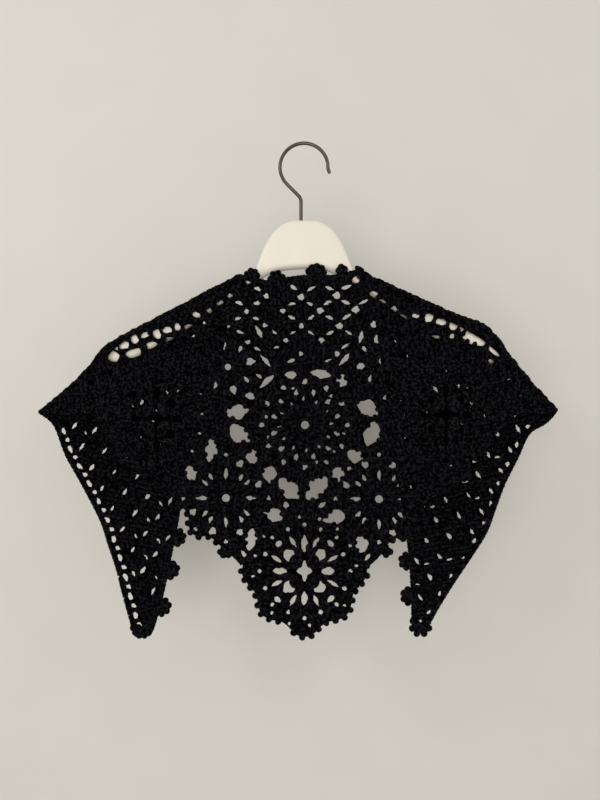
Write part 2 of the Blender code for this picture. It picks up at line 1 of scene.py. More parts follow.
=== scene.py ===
# The looks of a black crochet scarf hung over the arms of a cream hanger with a dark wire hook.
# The cloth is one thin sheet with its gaps left open, and every strand of yarn on it is a tube.
# Sheet and strands are laid out flat and then hung up over the same folds as the solids.
# Lengths are in millimetres, and MM turns them into metres.

import collections
import math
import random

import bpy
import numpy as np
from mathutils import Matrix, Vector


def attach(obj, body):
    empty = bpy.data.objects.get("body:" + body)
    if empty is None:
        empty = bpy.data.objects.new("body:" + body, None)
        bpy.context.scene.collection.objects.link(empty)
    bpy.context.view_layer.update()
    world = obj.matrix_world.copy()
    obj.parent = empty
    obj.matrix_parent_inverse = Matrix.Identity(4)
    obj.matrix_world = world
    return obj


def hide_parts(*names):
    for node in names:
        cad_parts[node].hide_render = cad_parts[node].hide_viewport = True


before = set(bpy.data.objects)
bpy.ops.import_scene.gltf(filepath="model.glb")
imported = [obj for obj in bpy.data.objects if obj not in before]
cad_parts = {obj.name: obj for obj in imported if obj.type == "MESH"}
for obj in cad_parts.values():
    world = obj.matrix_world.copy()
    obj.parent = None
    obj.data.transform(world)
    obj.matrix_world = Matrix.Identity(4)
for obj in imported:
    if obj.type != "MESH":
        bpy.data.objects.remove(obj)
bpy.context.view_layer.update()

MM = 0.001

# Cloth
CLOTH = 2.6                 # thickness of the crochet
CELL = 36.0                 # width of one shell of the ground, along its row
ROW = 14.5                  # height of one row of shells
YARN = 1.12                 # radius of the yarn
PLY_PITCH = 3.4             # length of one turn of its plies
LOOP_PITCH = 4.6            # length of one loop of a chain of loops
BRAID_TURN = 7.6            # length of one turn of the loops at the top of a row
POST_PITCH = 4.4            # spacing of the posts of a shell
POST_TURN = 13.0            # length of one turn of a post's two strands
FAN_POSTS = 7.66            # how many posts lean one way and back, in a shell's fan
FAN_LEAN = 0.9              # how far the top of a post leans at most
LINE_POINTS = 0.8           # spacing of the points of a row before gaps cut it
POST_POINTS = 0.7           # the same for a post

# The yarn's darker and lighter patches: place in the noise, colour
YARN_TONES = [(0.43, (0.0002, 0.0002, 0.0003)), (0.66, (0.0120, 0.0117, 0.0142))]

# Hanger
ARM_THICK = 14.0
ARM_END = 195.0
ARM_TAPER = 11.0            # the arms' last stretch, where they get thinner
WIRE = 3.5
HOOK_RADIUS = 24.0
HOOK_TOP = WIRE / 2
SHAFT_X = -3.0
HOOK_TIP = (1.6, -6.0)      # the wire's free end, from the hook's side
HOOK_FROM = -2              # the round part starts in this direction, in degrees
HOOK_TURN = 226             # and goes this far round
BEND = 9.0                  # radius of the bend from the slanted neck to the shaft
BEND_Z = -57.0
BEND_TURN = 46
HANGER_TOP = -76.0
SHAFT_IN = 20.0             # how deep the wire sits in the hanger

# The hanger's height from its middle outwards: x, top, bottom
HANGER_SECTIONS = [
    (0, HANGER_TOP, -124), (13, -76.5, -124.6), (22, -80, -126), (30, -86.5, -128.5),
    (37, -96, -131), (42, -107, -134), (46, -118, -137), (50, -127.5, -140),
    (55, -134, -143.5), (63, -138, -147.5), (80, -146.4, -159), (98, -153.5, -171),
    (132, -170, -194), (160, -184, -210), (176, -193.5, -217), (186, -201.5, -219.5),
    (192, -206.5, -218.5), (ARM_END, -210.5, -216),
]

# Fold
FOLD_RADIUS = ARM_THICK / 2 + 0.6 + CLOTH / 2
CORNER_RADIUS = 12.5        # of the free fold at the outer corners, past the arms
CORNER_FROM = 0.62          # share of the fold's length after which it widens to that
SEAM_LINE = -6.2            # the front and the tails meet here, just before the fold
SEAM_FROM = 30.0            # this far from the middle, and outwards from there
FADE = 115.0                # the crest's curve dies out this far from the fold
SETTLE = 45.0               # past the fold, the layers' own depths set in over this length
CLOSE_UP = 90.0             # and here the front layer of a wide fold comes back to its plane
SOLVE_ROUNDS = 6            # rounds that find a place on the flat cloth to about 0.01 mm

# A quarter turn of the fold takes this much more cloth than its radius, per mm of radius
TURN = math.pi / 2 - 1

# Sizes are read off in the hanger's plane from this far in front of it, so what lies
# nearer than that plane is really smaller, and what lies behind is larger.
VIEW_DISTANCE = 600.0
VIEW_X = -4.0
VIEW_Z = -255.0

# The room: the side of its wall and floor, and where they are
ROOM = 8000.0
WALL_Y = 150.0
WALL_Z = -300.0
FLOOR_Z = -1500.0

# The light from all round, and its strength
ROOM_LIGHT = (1.0, 0.98, 0.955, 1)
ROOM_STRENGTH = 0.82
LENS = 27                   # the camera's, before a sensor 36 mm wide
SENSOR = 36

# Soft lamps: name, place in metres, size, power, colour
LAMP_TARGET = (0, 0.05, -0.35)
LAMPS = [
    ("lamp_left", (-1.0, -0.9, 0.5), 0.30, 3.6, (1.0, 0.975, 0.94)),
    ("lamp_right", (1.0, -0.9, 0.5), 0.30, 1.8, (1.0, 0.975, 0.94)),
    ("lamp_front", (-0.3, -1.8, -0.45), 1.2, 14.5, (1.0, 0.98, 0.95)),
]

# The fold's crest over each arm, from the neck edge to the outer corner
CREST = {
    -1: [(-63, -130), (-98, -148), (-132, -166), (-179, -190), (-199, -203), (-214, -222),
         (-237, -245), (-264, -267)],
    1: [(65, -131), (104, -149), (154, -171), (177, -179), (190, -190), (203, -208),
        (222, -232), (237, -249), (252, -265)],
}

# Flower motifs: name, centre x, centre z, half width, half height, kind
FLOWERS = [
    ("flower_neck_left", -76, -222, 28, 28, "neck"),
    ("flower_neck_right", 78, -216, 27, 27, "neck"),
    ("flower_middle", 1, -280, 50, 50, "middle"),
    ("flower_low_left", -78, -353, 49, 50, "low"),
    ("flower_low_right", 75, -354, 49, 50, "low"),
    ("flower_shoulder_left", -147, -274, 53, 59, "blossom"),
    ("flower_shoulder_right", 142, -270, 54, 58, "blossom"),
    ("flower_point", 0.5, -426, 61.5, 64.5, "blossom"),
]

# The scallops of each kind of flower: how many, how far they stand out, and how much
# further the four at the sides, top and bottom do
SCALLOPS = {"neck": (8, 0.05, 0.0), "middle": (12, 0.04, 0.0), "low": (8, 0.075, 0.0),
            "blossom": (8, 0.06, 0.028)}

MOTIF_INSET = 4.4           # a flower's stitches end this far inside its outline
RIM_INSETS = (3.5, 5.4, 7.4)  # the same for the lumps on its edge and the two cords under them
RIM_LUMPS = 9.6             # spacing of those lumps

# The size that the tables below give a flower's radius, so that each kind fits its own
UNIT = {"neck": 48.0, "middle": 48.0, "low": 48.0, "blossom": 60.0}

# Rounds of openings: how many, first one's place in the step, distance from the middle,
# length outwards, width, turn to one side and the other
OPENINGS = {
    "neck": [(4, 0.15, 39.0, 15.0, 12.0, 0.0), (4, 0.62, 38.0, 14.0, 6.5, 0.3)],
    "middle": [(12, 0.5, 31.5, 6.5, 4.4, 0.3), (12, 0.0, 41.0, 6.2, 4.4, 0.5),
               (12, 0.1, 24.5, 4.2, 2.4, 0.2), (12, 0.6, 37.5, 3.6, 3.0, 0.7)],
    "low": [(4, 0.0, 23.5, 12.0, 4.2, 0.0), (4, 0.4, 25.0, 7.5, 3.8, 0.2),
            (4, 0.6, 25.5, 7.5, 3.8, 0.2), (8, 0.5, 35.0, 8.0, 6.2, 0.4),
            (8, 0.0, 42.0, 4.2, 4.4, 0.0)],
    "blossom": [(2, 0.0, 23.0, 13.0, 8.1, 0.0), (2, 0.5, 25.5, 16.2, 6.9, 0.0),
                (4, 0.5, 20.5, 13.0, 11.5, 0.0),
                (8, 0.5, 29.5, 14.0, 4.2, 0.12), (4, 0.5, 36.5, 5.5, 8.0, 0.0),
                (8, 0.5, 41.5, 4.6, 4.4, 0.0), (8, 0.0, 44.0, 4.4, 4.0, 0.0),
                (16, 0.25, 51.0, 3.6, 3.0, 0.0)],
}

# Rounds of tall stitches: inner and outer distance from the middle
STITCH_ROUNDS = {
    "neck": [(11.0, 27.0), (27.0, 45.0)],
    "middle": [(8.5, 18.0), (18.0, 28.5), (28.5, 37.0), (37.0, 45.0)],
    "low": [(8.5, 20.0), (20.0, 31.0), (31.0, 39.5), (39.5, 45.0)],
    "blossom": [(14.0, 30.0), (30.0, 42.5), (42.5, 50.5), (50.5, 58.5)],
}

# The star-shaped hole in a blossom: how far each four of its points reach, and its stretch
STAR = (9.6, 6.2, 3.9, 6.2)
STAR_WIDTH = 0.8
STAR_HEIGHT = 1.1

# The round hole in the other flowers: its width, and the least scale that it is drawn at
HOLE = 9.0
HOLE_SCALE = 0.85

# A blossom's four bobbles: how far they stand from its middle, and half their size
BOBBLE_AT = (11.4, 13.2)
BOBBLE_HALF = (6.4, 7.0)

# Gaps of the joining net on the front: x, z, width, height, tilt in degrees
NET_GAPS = [
    (-93, -305, 13, 25, -10), (-113, -328, 12, 16, 20), (-52, -312, 12, 16, 0),
    (-34.5, -329, 15, 17, 0), (-15, -344, 28, 17, -45), (13, -343, 31, 18, 48),
    (34, -329, 14, 15, 0), (51, -311, 17, 14, -20), (-30, -370, 20, 14, -15),
    (31, -372, 23, 15, 15), (-53, -394, 12, 23, -10), (57.5, -399, 14, 18, 10),
    (-18, -360, 6, 7, 0), (18, -360, 9, 5, 35), (-60, -409, 4.5, 9, 35),
    (63.5, -412, 4, 9, -38),
    (-67, -267, 24, 15, 10), (-65, -289, 25, 17, -38), (64, -263, 24, 16, -30),
    (68, -289, 17, 26, -20), (-45, -187, 5, 15, 28), (-38, -216, 4.5, 18, 42),
    (-37, -236, 6, 22, -48), (41, -214, 5, 19, -42), (38, -236, 11, 13, -10),
    (17, -229, 22, 9, -10), (-13, -230, 13, 8, 0), (57, -192, 4.5, 15, -12),
    (-82, -184, 19, 6, 18), (-54, -251, 11, 7, -20), (83, -252, 9, 6, 20),
    (-102, -247, 6, 6, 0), (96, -190, 12, 6, -25),
]

NET_LUMPS = 9.0             # spacing of the places where a lump may stand in such a gap

# Gaps along the shoulders, below the crest: x, z, width, height, tilt in degrees
SHOULDER_GAPS = [
    (-188, -212, 11, 10, -20), (-186, -202, 4, 8, 25), (-177, -201, 10, 7, 12),
    (-167, -195, 7, 9, 25), (-157, -191, 9, 5, 25), (-145, -190, 7, 9, 20),
    (-135, -186, 9, 6, 10), (-125, -183, 6, 7, 25), (-114, -183, 9, 5, 5),
    (-101, -179, 7, 5, 0), (-168, -209, 15, 8, 18), (-151, -201, 11, 6, 20),
    (-131, -196, 10, 6, -5), (-119, -194, 6, 5, -20), (-110, -190, 7, 5, 0),
    (-106, -171, 8, 5, -20), (-209, -238, 5, 6, 30), (-191, -228, 6, 6, 0),
    (-208, -252, 4, 6, 0), (-216, -263, 5, 5, 0),
    (188.5, -205.5, 13, 9, -42), (168, -194, 24, 12, -20), (156, -185, 6, 5, -20),
    (147, -182, 8, 8, -10), (135, -178, 10, 6, -12), (123, -174, 8, 8, -10),
    (125, -164, 5, 3.5, -20), (110, -172, 7, 4, -15), (146, -192, 4, 5, -10),
    (129, -193, 10, 3.5, 0), (112, -187, 6, 4, 0), (201, -223, 5, 5.5, -30), (200, -236, 6, 4, 10),
    (211, -251, 4, 6, -20), (184, -217, 5, 3.5, -30),
]

# Edges of each tail behind the hanger, from the fold down to the tip
TAIL_INNER = {
    -1: [(-80, -197), (-99, -255), (-113, -292), (-120.5, -328), (-124.5, -365),
         (-129, -391), (-139, -440), (-146, -468), (-151, -484), (-155, -491)],
    1: [(75, -197), (84, -262), (94, -330), (104, -399), (107, -435), (108, -462),
        (108.5, -479), (112, -488)],
}
TAIL_OUTER = {
    -1: [(-168, -491), (-173, -476), (-181, -447), (-187, -423), (-195, -399), (-203, -375),
         (-222, -338), (-242, -303), (-254, -281)],
    1: [(121, -489), (126, -477), (136, -459), (151, -435), (167, -411), (182, -387),
        (191, -363), (200, -339), (212, -315), (221, -297), (231, -286), (249, -276)],
}

# Lower edge of the front, from the outer corner towards the point, left and right
FRONT_EDGE = {
    -1: [(-234, -268), (-212, -266), (-198, -281), (-168, -319), (-161, -331), (-138, -347),
         (-114, -358), (-90, -386), (-81, -401), (-72, -409), (-64, -417), (-52, -430)],
    1: [(234, -267), (211, -267), (191, -288), (168, -310), (161, -331), (138, -347),
        (109, -361), (87, -389), (77, -407), (64, -420), (50, -430)],
}
POINT_INSIDE = (0, -440)    # inside the point flower, where both lower edges meet
NECK_FRONT = [(40, -130), (22, -132), (4, -131), (-18, -134), (-40, -137)]

# Fans of lumps along the neck edge: x, width, height, lumps
NECK_FANS = [(-72, 9, 7, 2), (-53, 18, 10, 4), (-27, 20, 12, 4), (11, 23, 12, 5),
             (38, 14, 10, 3), (58, 12, 9, 3)]

# Fans under the two low flowers: x and z of the middle, width, height, lumps
LOW_FANS = [(-78, -404, 20, 10, 4), (82, -403, 17, 10, 3)]

# Fans along each tail's inner edge: z of the middle of each fan
TAIL_FANS = {-1: [-391, -424, -462], 1: [-387, -416, -451]}
FAN_WIDTH = 22.0
FAN_HEIGHT = 12.0

# Lumps round each tail's tip: x, z, radius, first and last direction in degrees
TAIL_TIPS = {-1: (-162, -482, 9.0, 185, 355), 1: (116.5, -480.5, 8.8, 150, 390)}

# Where the front layer swells towards the viewer: rise, then x, z, half width, half height
SWELLS = [
    (24, -146, -283, 52, 56), (24, 146, -278, 52, 56), (5, -225, -262, 30, 24),
    (5, 220, -262, 30, 24), (-5.5, 0, -225, 46, 60), (5, 0, -470, 80, 60),
    (6, -80, -372, 38, 38), (6, 80, -374, 38, 38),
]
FRONT_WAVE = 1.6            # height of the slight waves of the front's lower part
FRONT_WAVE_WIDTH = 19.0
FRONT_WAVE_TOP = -280.0     # they grow from here down to their full height
FRONT_WAVE_GROWTH = 120.0
TAIL_SAG = 7.0              # how far the tails hang off behind the arms
TAIL_WAVE = 4.0
TAIL_WAVE_WIDTH = 17.0
TAIL_WAVE_SLANT = 60.0
TAIL_SAG_TOP = -200.0       # both grow from here down to their full size
TAIL_SAG_GROWTH = 260.0

# The rows of the front's ground, and the lattice of gaps between their shells
FRONT_ROWS = 22
FIRST_ROW = 0.75            # the first row lies this far above the neck edge
FRONT_END = -440.0          # no post starts below this
CENTRE_SHELL = (-2, -181)   # a gap between four shells on the front's middle line
LATTICE_HALF = 104.0        # half the lattice's width there
LATTICE_SHRINK = 5.0        # how much less that is in each further row
LATTICE_LOW = -226.0
SHELL_GAP = (7.6, 6.8)      # width and height of such a gap
SLIT_AT = (9.2, -6.9)       # where the slits to its sides are
SHELL_WEB = 2.2             # least width of the crochet between two gaps
TAIL_WEB = 2.4              # the same on the tails

# Shells of the tails, seen from the front: first gap and the two steps to the next ones
TAIL_REACH = 330.0          # the rows run this far to both sides of it
TAIL_GAPS = {
    -1: {"first": (-202, -343), "along": (10.2, -20.6), "across": (22.7, -4.3), "tilt": 58},
    1: {"first": (168, -387), "along": (-9.6, -20.5), "across": (-22.7, -4.3), "tilt": -58},
}

# Gaps at each tail's outer edge: spacing, distance inwards, and how much more every second one
BORDER_PITCH = {-1: 9.9, 1: 20.5}
BORDER_INSET = {-1: 5.9, 1: 5.6}
BORDER_ZIGZAG = {-1: 0.8, 1: 0.0}

CHANCE = random.Random(11)
vary = CHANCE.uniform


def smooth_step(value):
    """Nought up to 0 and one from 1 on, with a smooth rise between."""
    value = np.clip(value, 0.0, 1.0)
    return value * value * (3 - 2 * value)


class Fold:
    """The cloth's fold over one arm, about the straight line between its ends."""

    def __init__(self, side):
        crest = np.array(CREST[side], float)
        run = crest[-1] - crest[0]
        self.start = crest[0]
        self.length = float(np.linalg.norm(run))
        self.along = run / self.length
        self.out = np.array([-self.along[1], self.along[0]]) * side
        self.stations = (crest - self.start) @ self.along
        self.rises = (crest - self.start) @ self.out
        xs, ys = self.stations, self.rises
        self.slopes = np.zeros(len(xs))
        self.slopes[1:-1] = (ys[2:] - ys[:-2]) / (xs[2:] - xs[:-2])
        self.slopes[0] = ys[1] / xs[1]
        self.slopes[-1] = -ys[-2] / (xs[-1] - xs[-2])

    def rise(self, t):
        """How far the crest stands out from the straight line, by a smooth curve."""
        xs, ys, slopes = self.stations, self.rises, self.slopes
        i = np.clip(np.searchsorted(xs, t, side="right") - 1, 0, len(xs) - 2)
        span = xs[i + 1] - xs[i]
        u = (t - xs[i]) / span
        a = ys[i] * (1 + 2 * u) * (1 - u) ** 2 + slopes[i] * span * u * (1 - u) ** 2
        b = ys[i + 1] * u * u * (3 - 2 * u) + slopes[i + 1] * span * u * u * (u - 1)
        return np.where((t <= xs[0]) | (t >= xs[-1]), 0.0, a + b)

    def fade(self, distance):
        """The share of that curve that is left some way off the fold."""
        return smooth_step(1 - np.abs(distance) / FADE)

    def radius(self, t):
        wider = smooth_step((t / self.length - CORNER_FROM) / (1 - CORNER_FROM))
        return FOLD_RADIUS + (CORNER_RADIUS - FOLD_RADIUS) * wider

    def split(self, points):
        """Each point's place along the straight line, and its distance outwards from it."""
        offset = points - self.start
        return offset @ self.along, offset @ self.out

    def point(self, t, q):
        return self.start + np.outer(t, self.along) + np.outer(q, self.out)


FOLDS = {-1: Fold(-1), 1: Fold(1)}


def each_side(points, work, width):
    """The work done on the points of each side with that side's fold."""
    points = np.asarray(points, float).reshape(-1, 2)
    found = np.zeros((len(points), width))
    left = points[:, 0] < 0
    for side, chosen in ((-1, left), (1, ~left)):
        if chosen.any():
            found[chosen] = work(FOLDS[side], points[chosen])
    return found


def front(points):
    """The places on the flat cloth of points seen on the front layer."""
    def work(fold, seen):
        t, q = fold.split(seen)
        radius = fold.radius(t)
        flat = q.copy()
        for _ in range(SOLVE_ROUNDS):
            plane = q - fold.rise(t) * fold.fade(flat - TURN * radius)
            angle = np.arccos(np.clip(1 + np.minimum(plane, 0.0) / radius, 0.0, 1.0))
            flat = np.where(plane > -radius, (TURN - angle) * radius, plane)
        return fold.point(t, flat)
    return each_side(points, work, 2)


def back(points, side):
    """The places on the flat cloth of points seen on the tail behind the hanger."""
    fold = FOLDS[side]
    t, q = fold.split(np.asarray(points, float).reshape(-1, 2))
    beyond = TURN * fold.radius(t)
    distance = -q
    for _ in range(SOLVE_ROUNDS):
        distance = beyond - (q - fold.rise(t) * fold.fade(distance))
    return fold.point(t, distance + beyond)


def front_swell(x, z):
    """How far the front layer stands out towards the viewer past the hanger's face."""
    swell = FRONT_WAVE * np.sin(x / FRONT_WAVE_WIDTH)
    swell = swell * smooth_step((FRONT_WAVE_TOP - z) / FRONT_WAVE_GROWTH)
    for rise, centre_x, centre_z, half_width, half_height in SWELLS:
        u = (x - centre_x) / half_width
        v = (z - centre_z) / half_height
        swell = swell + rise * np.exp(-(u * u + v * v))
    return swell


def back_sag(x, z):
    """How far the tails stand off behind the arms."""
    wave = TAIL_WAVE * np.sin(x / TAIL_WAVE_WIDTH + z / TAIL_WAVE_SLANT)
    return smooth_step((TAIL_SAG_TOP - z) / TAIL_SAG_GROWTH) * (TAIL_SAG + wave)


def place(flat):
    """Where points of the flat cloth lie once it hangs, as rows of x, y, z."""
    def work(fold, points):
        t, q = fold.split(points)
        radius = fold.radius(t)
        distance = q - TURN * radius
        quarter = math.pi / 2 * radius
        turn = np.clip(distance / radius, -math.pi / 2, math.pi / 2)
        plane = -radius * (1 - np.cos(turn))
        depth = radius * np.sin(turn)
        plane = np.where(distance <= -quarter, q, plane)
        plane = np.where(distance >= quarter, -(distance - quarter + radius), plane)
        settle = smooth_step((np.abs(distance) - quarter) / SETTLE)
        ahead = distance < 0
        closer = (radius - FOLD_RADIUS) * smooth_step((-distance - quarter) / CLOSE_UP)
        depth = depth + np.where(ahead, closer, 0.0)
        seen = fold.point(t, plane + fold.rise(t) * fold.fade(distance))
        x, z = seen[:, 0], seen[:, 1]
        depth = depth + settle * np.where(ahead, -front_swell(x, z), back_sag(x, z))
        near = 1 + depth / VIEW_DISTANCE * settle
        return np.stack([VIEW_X + (x - VIEW_X) * near, depth, VIEW_Z + (z - VIEW_Z) * near], 1)
    return each_side(flat, work, 3)


def unit(vectors):
    """Rows of vectors, each made one long."""
    return vectors / np.maximum(np.linalg.norm(vectors, axis=1, keepdims=True), 1e-9)


def length_along(line):
    return np.concatenate([[0.0], np.cumsum(np.linalg.norm(np.diff(line, axis=0), axis=1))])


def at_marks(marks, run, line):
    """What a line has at some distances along its run."""
    return np.stack([np.interp(marks, run, line[:, k]) for k in range(line.shape[1])], 1)


def outward(flat):
    """The cloth's outer normals at points of the flat cloth."""
    step = 0.4
    across = place(flat + (step, 0.0)) - place(flat - (step, 0.0))
    up = place(flat + (0.0, step)) - place(flat - (0.0, step))
    return unit(np.cross(across, up))


def even(points, step, closed=False):
    """The points of a smooth curve through the given ones, at about even steps."""
    p = np.asarray(points, float)
    if closed:
        p = np.vstack([p[-1], p, p[0], p[1]])
    else:
        p = np.vstack([2 * p[0] - p[1], p, 2 * p[-1] - p[-2]])
    u = np.linspace(0, 1, 7)[:-1, None]
    fine = []
    for a, b, c, d in zip(p[:-3], p[1:-2], p[2:-1], p[3:]):
        fine.append(0.5 * (2 * b + (c - a) * u + (2 * a - 5 * b + 4 * c - d) * u * u
                           + (3 * b - a - 3 * c + d) * u ** 3))
    fine = np.vstack([*fine, p[-2]])
    run = length_along(fine)
    count = max(3 if closed else 2, int(round(run[-1] / step)) + 1)
    found = at_marks(np.linspace(0, run[-1], count), run, fine)
    return found[:-1] if closed else found


def even_turns(count, first=0.0):
    """Even angles round a circle."""
    return 2 * math.pi * (np.arange(count) + first) / count


def turned(x, z, dx, dz, tilt):
    """Points at some distances from a spot, turned about it by a tilt in degrees."""
    c = math.cos(math.radians(tilt))
    s = math.sin(math.radians(tilt))
    return np.stack([x + dx * c - dz * s, z + dx * s + dz * c], 1)


def ring(x, z, width, height, tilt=0.0, count=12):
    """A closed loop of points round an ellipse."""
    a = even_turns(count)
    return turned(x, z, width / 2 * np.cos(a), height / 2 * np.sin(a), tilt)


def opening(x, z, width, height, tilt, corners, unevenness):
    """A closed loop whose corners run from a diamond's, at 1, over an oval, at 2, to a box's."""
    a = even_turns(16)
    across = np.abs(np.cos(a) * 2 / width) ** corners
    up = np.abs(np.sin(a) * 2 / height) ** corners
    reach = (across + up) ** (-1 / corners)
    reach = reach * (1 + unevenness * np.sin(3 * a + vary(0, 6))
                     + unevenness * np.sin(5 * a + vary(0, 6)))
    return turned(x, z, reach * np.cos(a), reach * np.sin(a), tilt)


def grown(loop, margin):
    """A closed loop with its points moved outwards from its middle."""
    centre = loop.mean(0)
    reach = np.linalg.norm(loop - centre, axis=1, keepdims=True)
    return centre + (loop - centre) * (1 + margin / np.maximum(reach, 1e-6))


class Chart:
    """A fine grid over the flat cloth that says what each spot belongs to."""

    STEP = 0.5

    def __init__(self, low, high):
        self.low = np.array(low, float)
        size = ((np.array(high) - self.low) / self.STEP).astype(int) + 1
        self.label = np.zeros((size[1], size[0]), np.int16)
        self.gap = np.zeros((size[1], size[0]), bool)

    def covered(self, loop):
        """The grid's rows and columns round a closed loop, and which of their spots it holds."""
        a = (np.asarray(loop) - self.low) / self.STEP
        low = np.maximum(np.floor(a.min(0)).astype(int) - 1, 0)
        high = np.ceil(a.max(0)).astype(int) + 2
        height = min(high[1], self.label.shape[0]) - low[1]
        width = min(high[0], self.label.shape[1]) - low[0]
        crossings = np.zeros((height, width + 1), int)
        a = a - low
        for (x0, y0), (x1, y1) in zip(a, np.roll(a, -1, axis=0)):
            if y0 == y1:
                continue
            rows = np.arange(math.ceil(min(y0, y1)), math.ceil(max(y0, y1)))
            rows = rows[(rows >= 0) & (rows < height)]
            columns = np.ceil(x0 + (rows - y0) * (x1 - x0) / (y1 - y0)).astype(int)
            np.add.at(crossings, (rows, np.clip(columns, 0, width)), 1)
        held = np.cumsum(crossings, axis=1)[:, :width] % 2 == 1
        return slice(low[1], low[1] + height), slice(low[0], low[0] + width), held

    def mark(self, loop, value):
        """Gives the spots in a loop a label."""
        rows, columns, held = self.covered(loop)
        self.label[rows, columns][held] = value

    def open(self, loop):
        """Makes the spots in a loop a gap."""
        rows, columns, held = self.covered(loop)
        self.gap[rows, columns][held] = True

    def at(self, flat):
        """The label at each point of the flat cloth, and whether it lies in a gap."""
        spot = np.round((np.asarray(flat) - self.low) / self.STEP).astype(int)
        x = np.clip(spot[:, 0], 0, self.label.shape[1] - 1)
        y = np.clip(spot[:, 1], 0, self.label.shape[0] - 1)
        return self.label[y, x], self.gap[y, x]


GROUND, TAIL_LEFT, TAIL_RIGHT, FIRST_FLOWER = 1, 2, 3, 10
TAIL_LABEL = {-1: TAIL_LEFT, 1: TAIL_RIGHT}
PLAIN = [GROUND, TAIL_LEFT, TAIL_RIGHT]
ALL_LABELS = PLAIN + list(range(FIRST_FLOWER, FIRST_FLOWER + len(FLOWERS)))
CHART = Chart((-520, -520), (520, 30))

Strand = collections.namedtuple("Strand", "flat lift radius closed wide")
STRANDS = {}                # the strands of each piece
GAPS = []                   # the loop of each gap, with its cord's radius and piece


def strand(piece, flat, lift, radius, closed=False, wide=1.0):
    """Adds a tube of yarn: its line on the flat cloth, height above it, radius and wideness."""
    flat = np.asarray(flat, float)
    lift = np.broadcast_to(np.asarray(lift, float), (len(flat),))
    radius = np.broadcast_to(np.asarray(radius, float), (len(flat),))
    STRANDS.setdefault(piece, []).append(Strand(flat, lift, radius, closed, wide))


def stretches(line, labels, least):
    """The stretches of a line of points that lie on crochet, as pairs of first and last."""
    label, opened = CHART.at(line)
    good = np.isin(label, labels) & ~opened
    ends = np.flatnonzero(np.diff(np.concatenate([[0], good.astype(int), [0]])))
    found = []
    for first, last in zip(ends[::2], ends[1::2]):
        if last - first >= 2 and length_along(line[first:last])[-1] >= least:
            found.append((first, last))
    return found


def sideways(line):
    """The direction to the left of a line on the flat cloth, at each of its points."""
    run = unit(np.gradient(line, axis=0))
    return np.stack([-run[:, 1], run[:, 0]], 1)


def twisted(piece, line, radius, spread, pitch, lift=0.0, height=0.55, phase=0.0, wide=1.0):
    """Two strands that wind round each other along a line."""
    left = sideways(line)
    angle = 2 * math.pi * length_along(line) / pitch + phase
    for half in (0, math.pi):
        flat = line + left * (np.cos(angle + half) * spread)[:, None]
        strand(piece, flat, lift + height * np.sin(angle + half), radius, wide=wide)


def cord(piece, points, radius=YARN, lift=0.0, closed=False):
    """One strand along a curve, slightly lumpy as a chain of loops is."""
    line = even(points, 2.3, closed)
    run = length_along(line)
    phase = vary(0, 6)
    swell = 1 + 0.12 * np.sin(2 * math.pi * run / LOOP_PITCH + phase)
    strand(piece, line, lift + 0.25 * np.sin(run / 3.1 + phase), radius * swell, closed)


def post(piece, line, labels, phase, lift=0.0, width=1.08, least=3.2):
    """A tall stitch along a line of close points, cut where the crochet has gaps."""
    for first, last in stretches(line, labels, least):
        part = even(line[first:last], 2.5)
        if len(part) >= 3:
            run = length_along(part)
            taper = 1 - 0.22 * (2 * run / run[-1] - 1) ** 4
            twisted(piece, part, YARN * taper, width, POST_TURN, lift, 0.6, phase, 1.15)


def braid(piece, line, labels, lift=0.8, least=5.0):
    """The row of loops at the top of a row of stitches, cut where the crochet has gaps."""
    for first, last in stretches(line, labels, least):
        part = even(line[first:last], 1.9)
        if len(part) >= 3:
            twisted(piece, part, YARN * 0.86, 0.85, BRAID_TURN, lift, 0.35, vary(0, 6))


def lump(piece, flat_centre, size=3.3, lift=0.0):
    """A small ring of thick yarn that closes to a ball."""
    tube = size * 0.55
    loop = ring(*flat_centre, 2 * (size - tube), 1.8 * (size - tube), vary(0, 90), 8)
    heights = lift + 0.6 * np.sin(np.arange(8) * math.pi / 4 + vary(0, 6))
    strand(piece, loop, heights, tube, True)


def puff(piece, x, z, half_width, half_height, heading):
    """A round bobble: a bundle of stitches joined at both ends that stands out in the middle."""
    t = np.linspace(-1, 1, 6)
    bow = np.sqrt(np.maximum(1 - (t * 0.93) ** 2, 0.0))
    for k in range(5):
        offset = (k - 2) / 2.35
        reach = math.sqrt(1 - offset * offset)
        ahead = t * half_height * (0.55 + 0.45 * reach)
        points = turned(x, z, ahead, offset * half_width * bow, heading)
        strand(piece, front(points), 0.4 + 3.6 * bow * reach, YARN * 1.25)


def clear(loop, labels, margin):
    """Whether a loop lies in certain parts of the cloth, some way off every other gap."""
    found, opened = CHART.at(grown(loop, margin))
    return bool(np.isin(found, labels).all() and not opened.any())


def gap(loop, corded=True, radius=YARN, piece="scarf_net", lumps=False):
    """An opening of the flat cloth with a cord of yarn round it, and lumps here and there."""
    if (CHART.at(grown(loop, 1.0))[0] == 0).any():
        return
    CHART.open(grown(loop, 0.5))
    if corded:
        GAPS.append((grown(loop, 1.0), radius, piece))
    reach = np.linalg.norm(loop - loop.mean(0), axis=1)
    if lumps and reach.min() > 4.0:
        run = length_along(np.vstack([loop, loop[:1]]))
        for mark in np.arange(vary(0, 6), run[-1] - 5.0, NET_LUMPS):
            if CHANCE.random() < 0.6:
                spot = loop[int(np.searchsorted(run, mark)) % len(loop)]
                lump(piece, spot, vary(2.4, 3.1), 0.4)


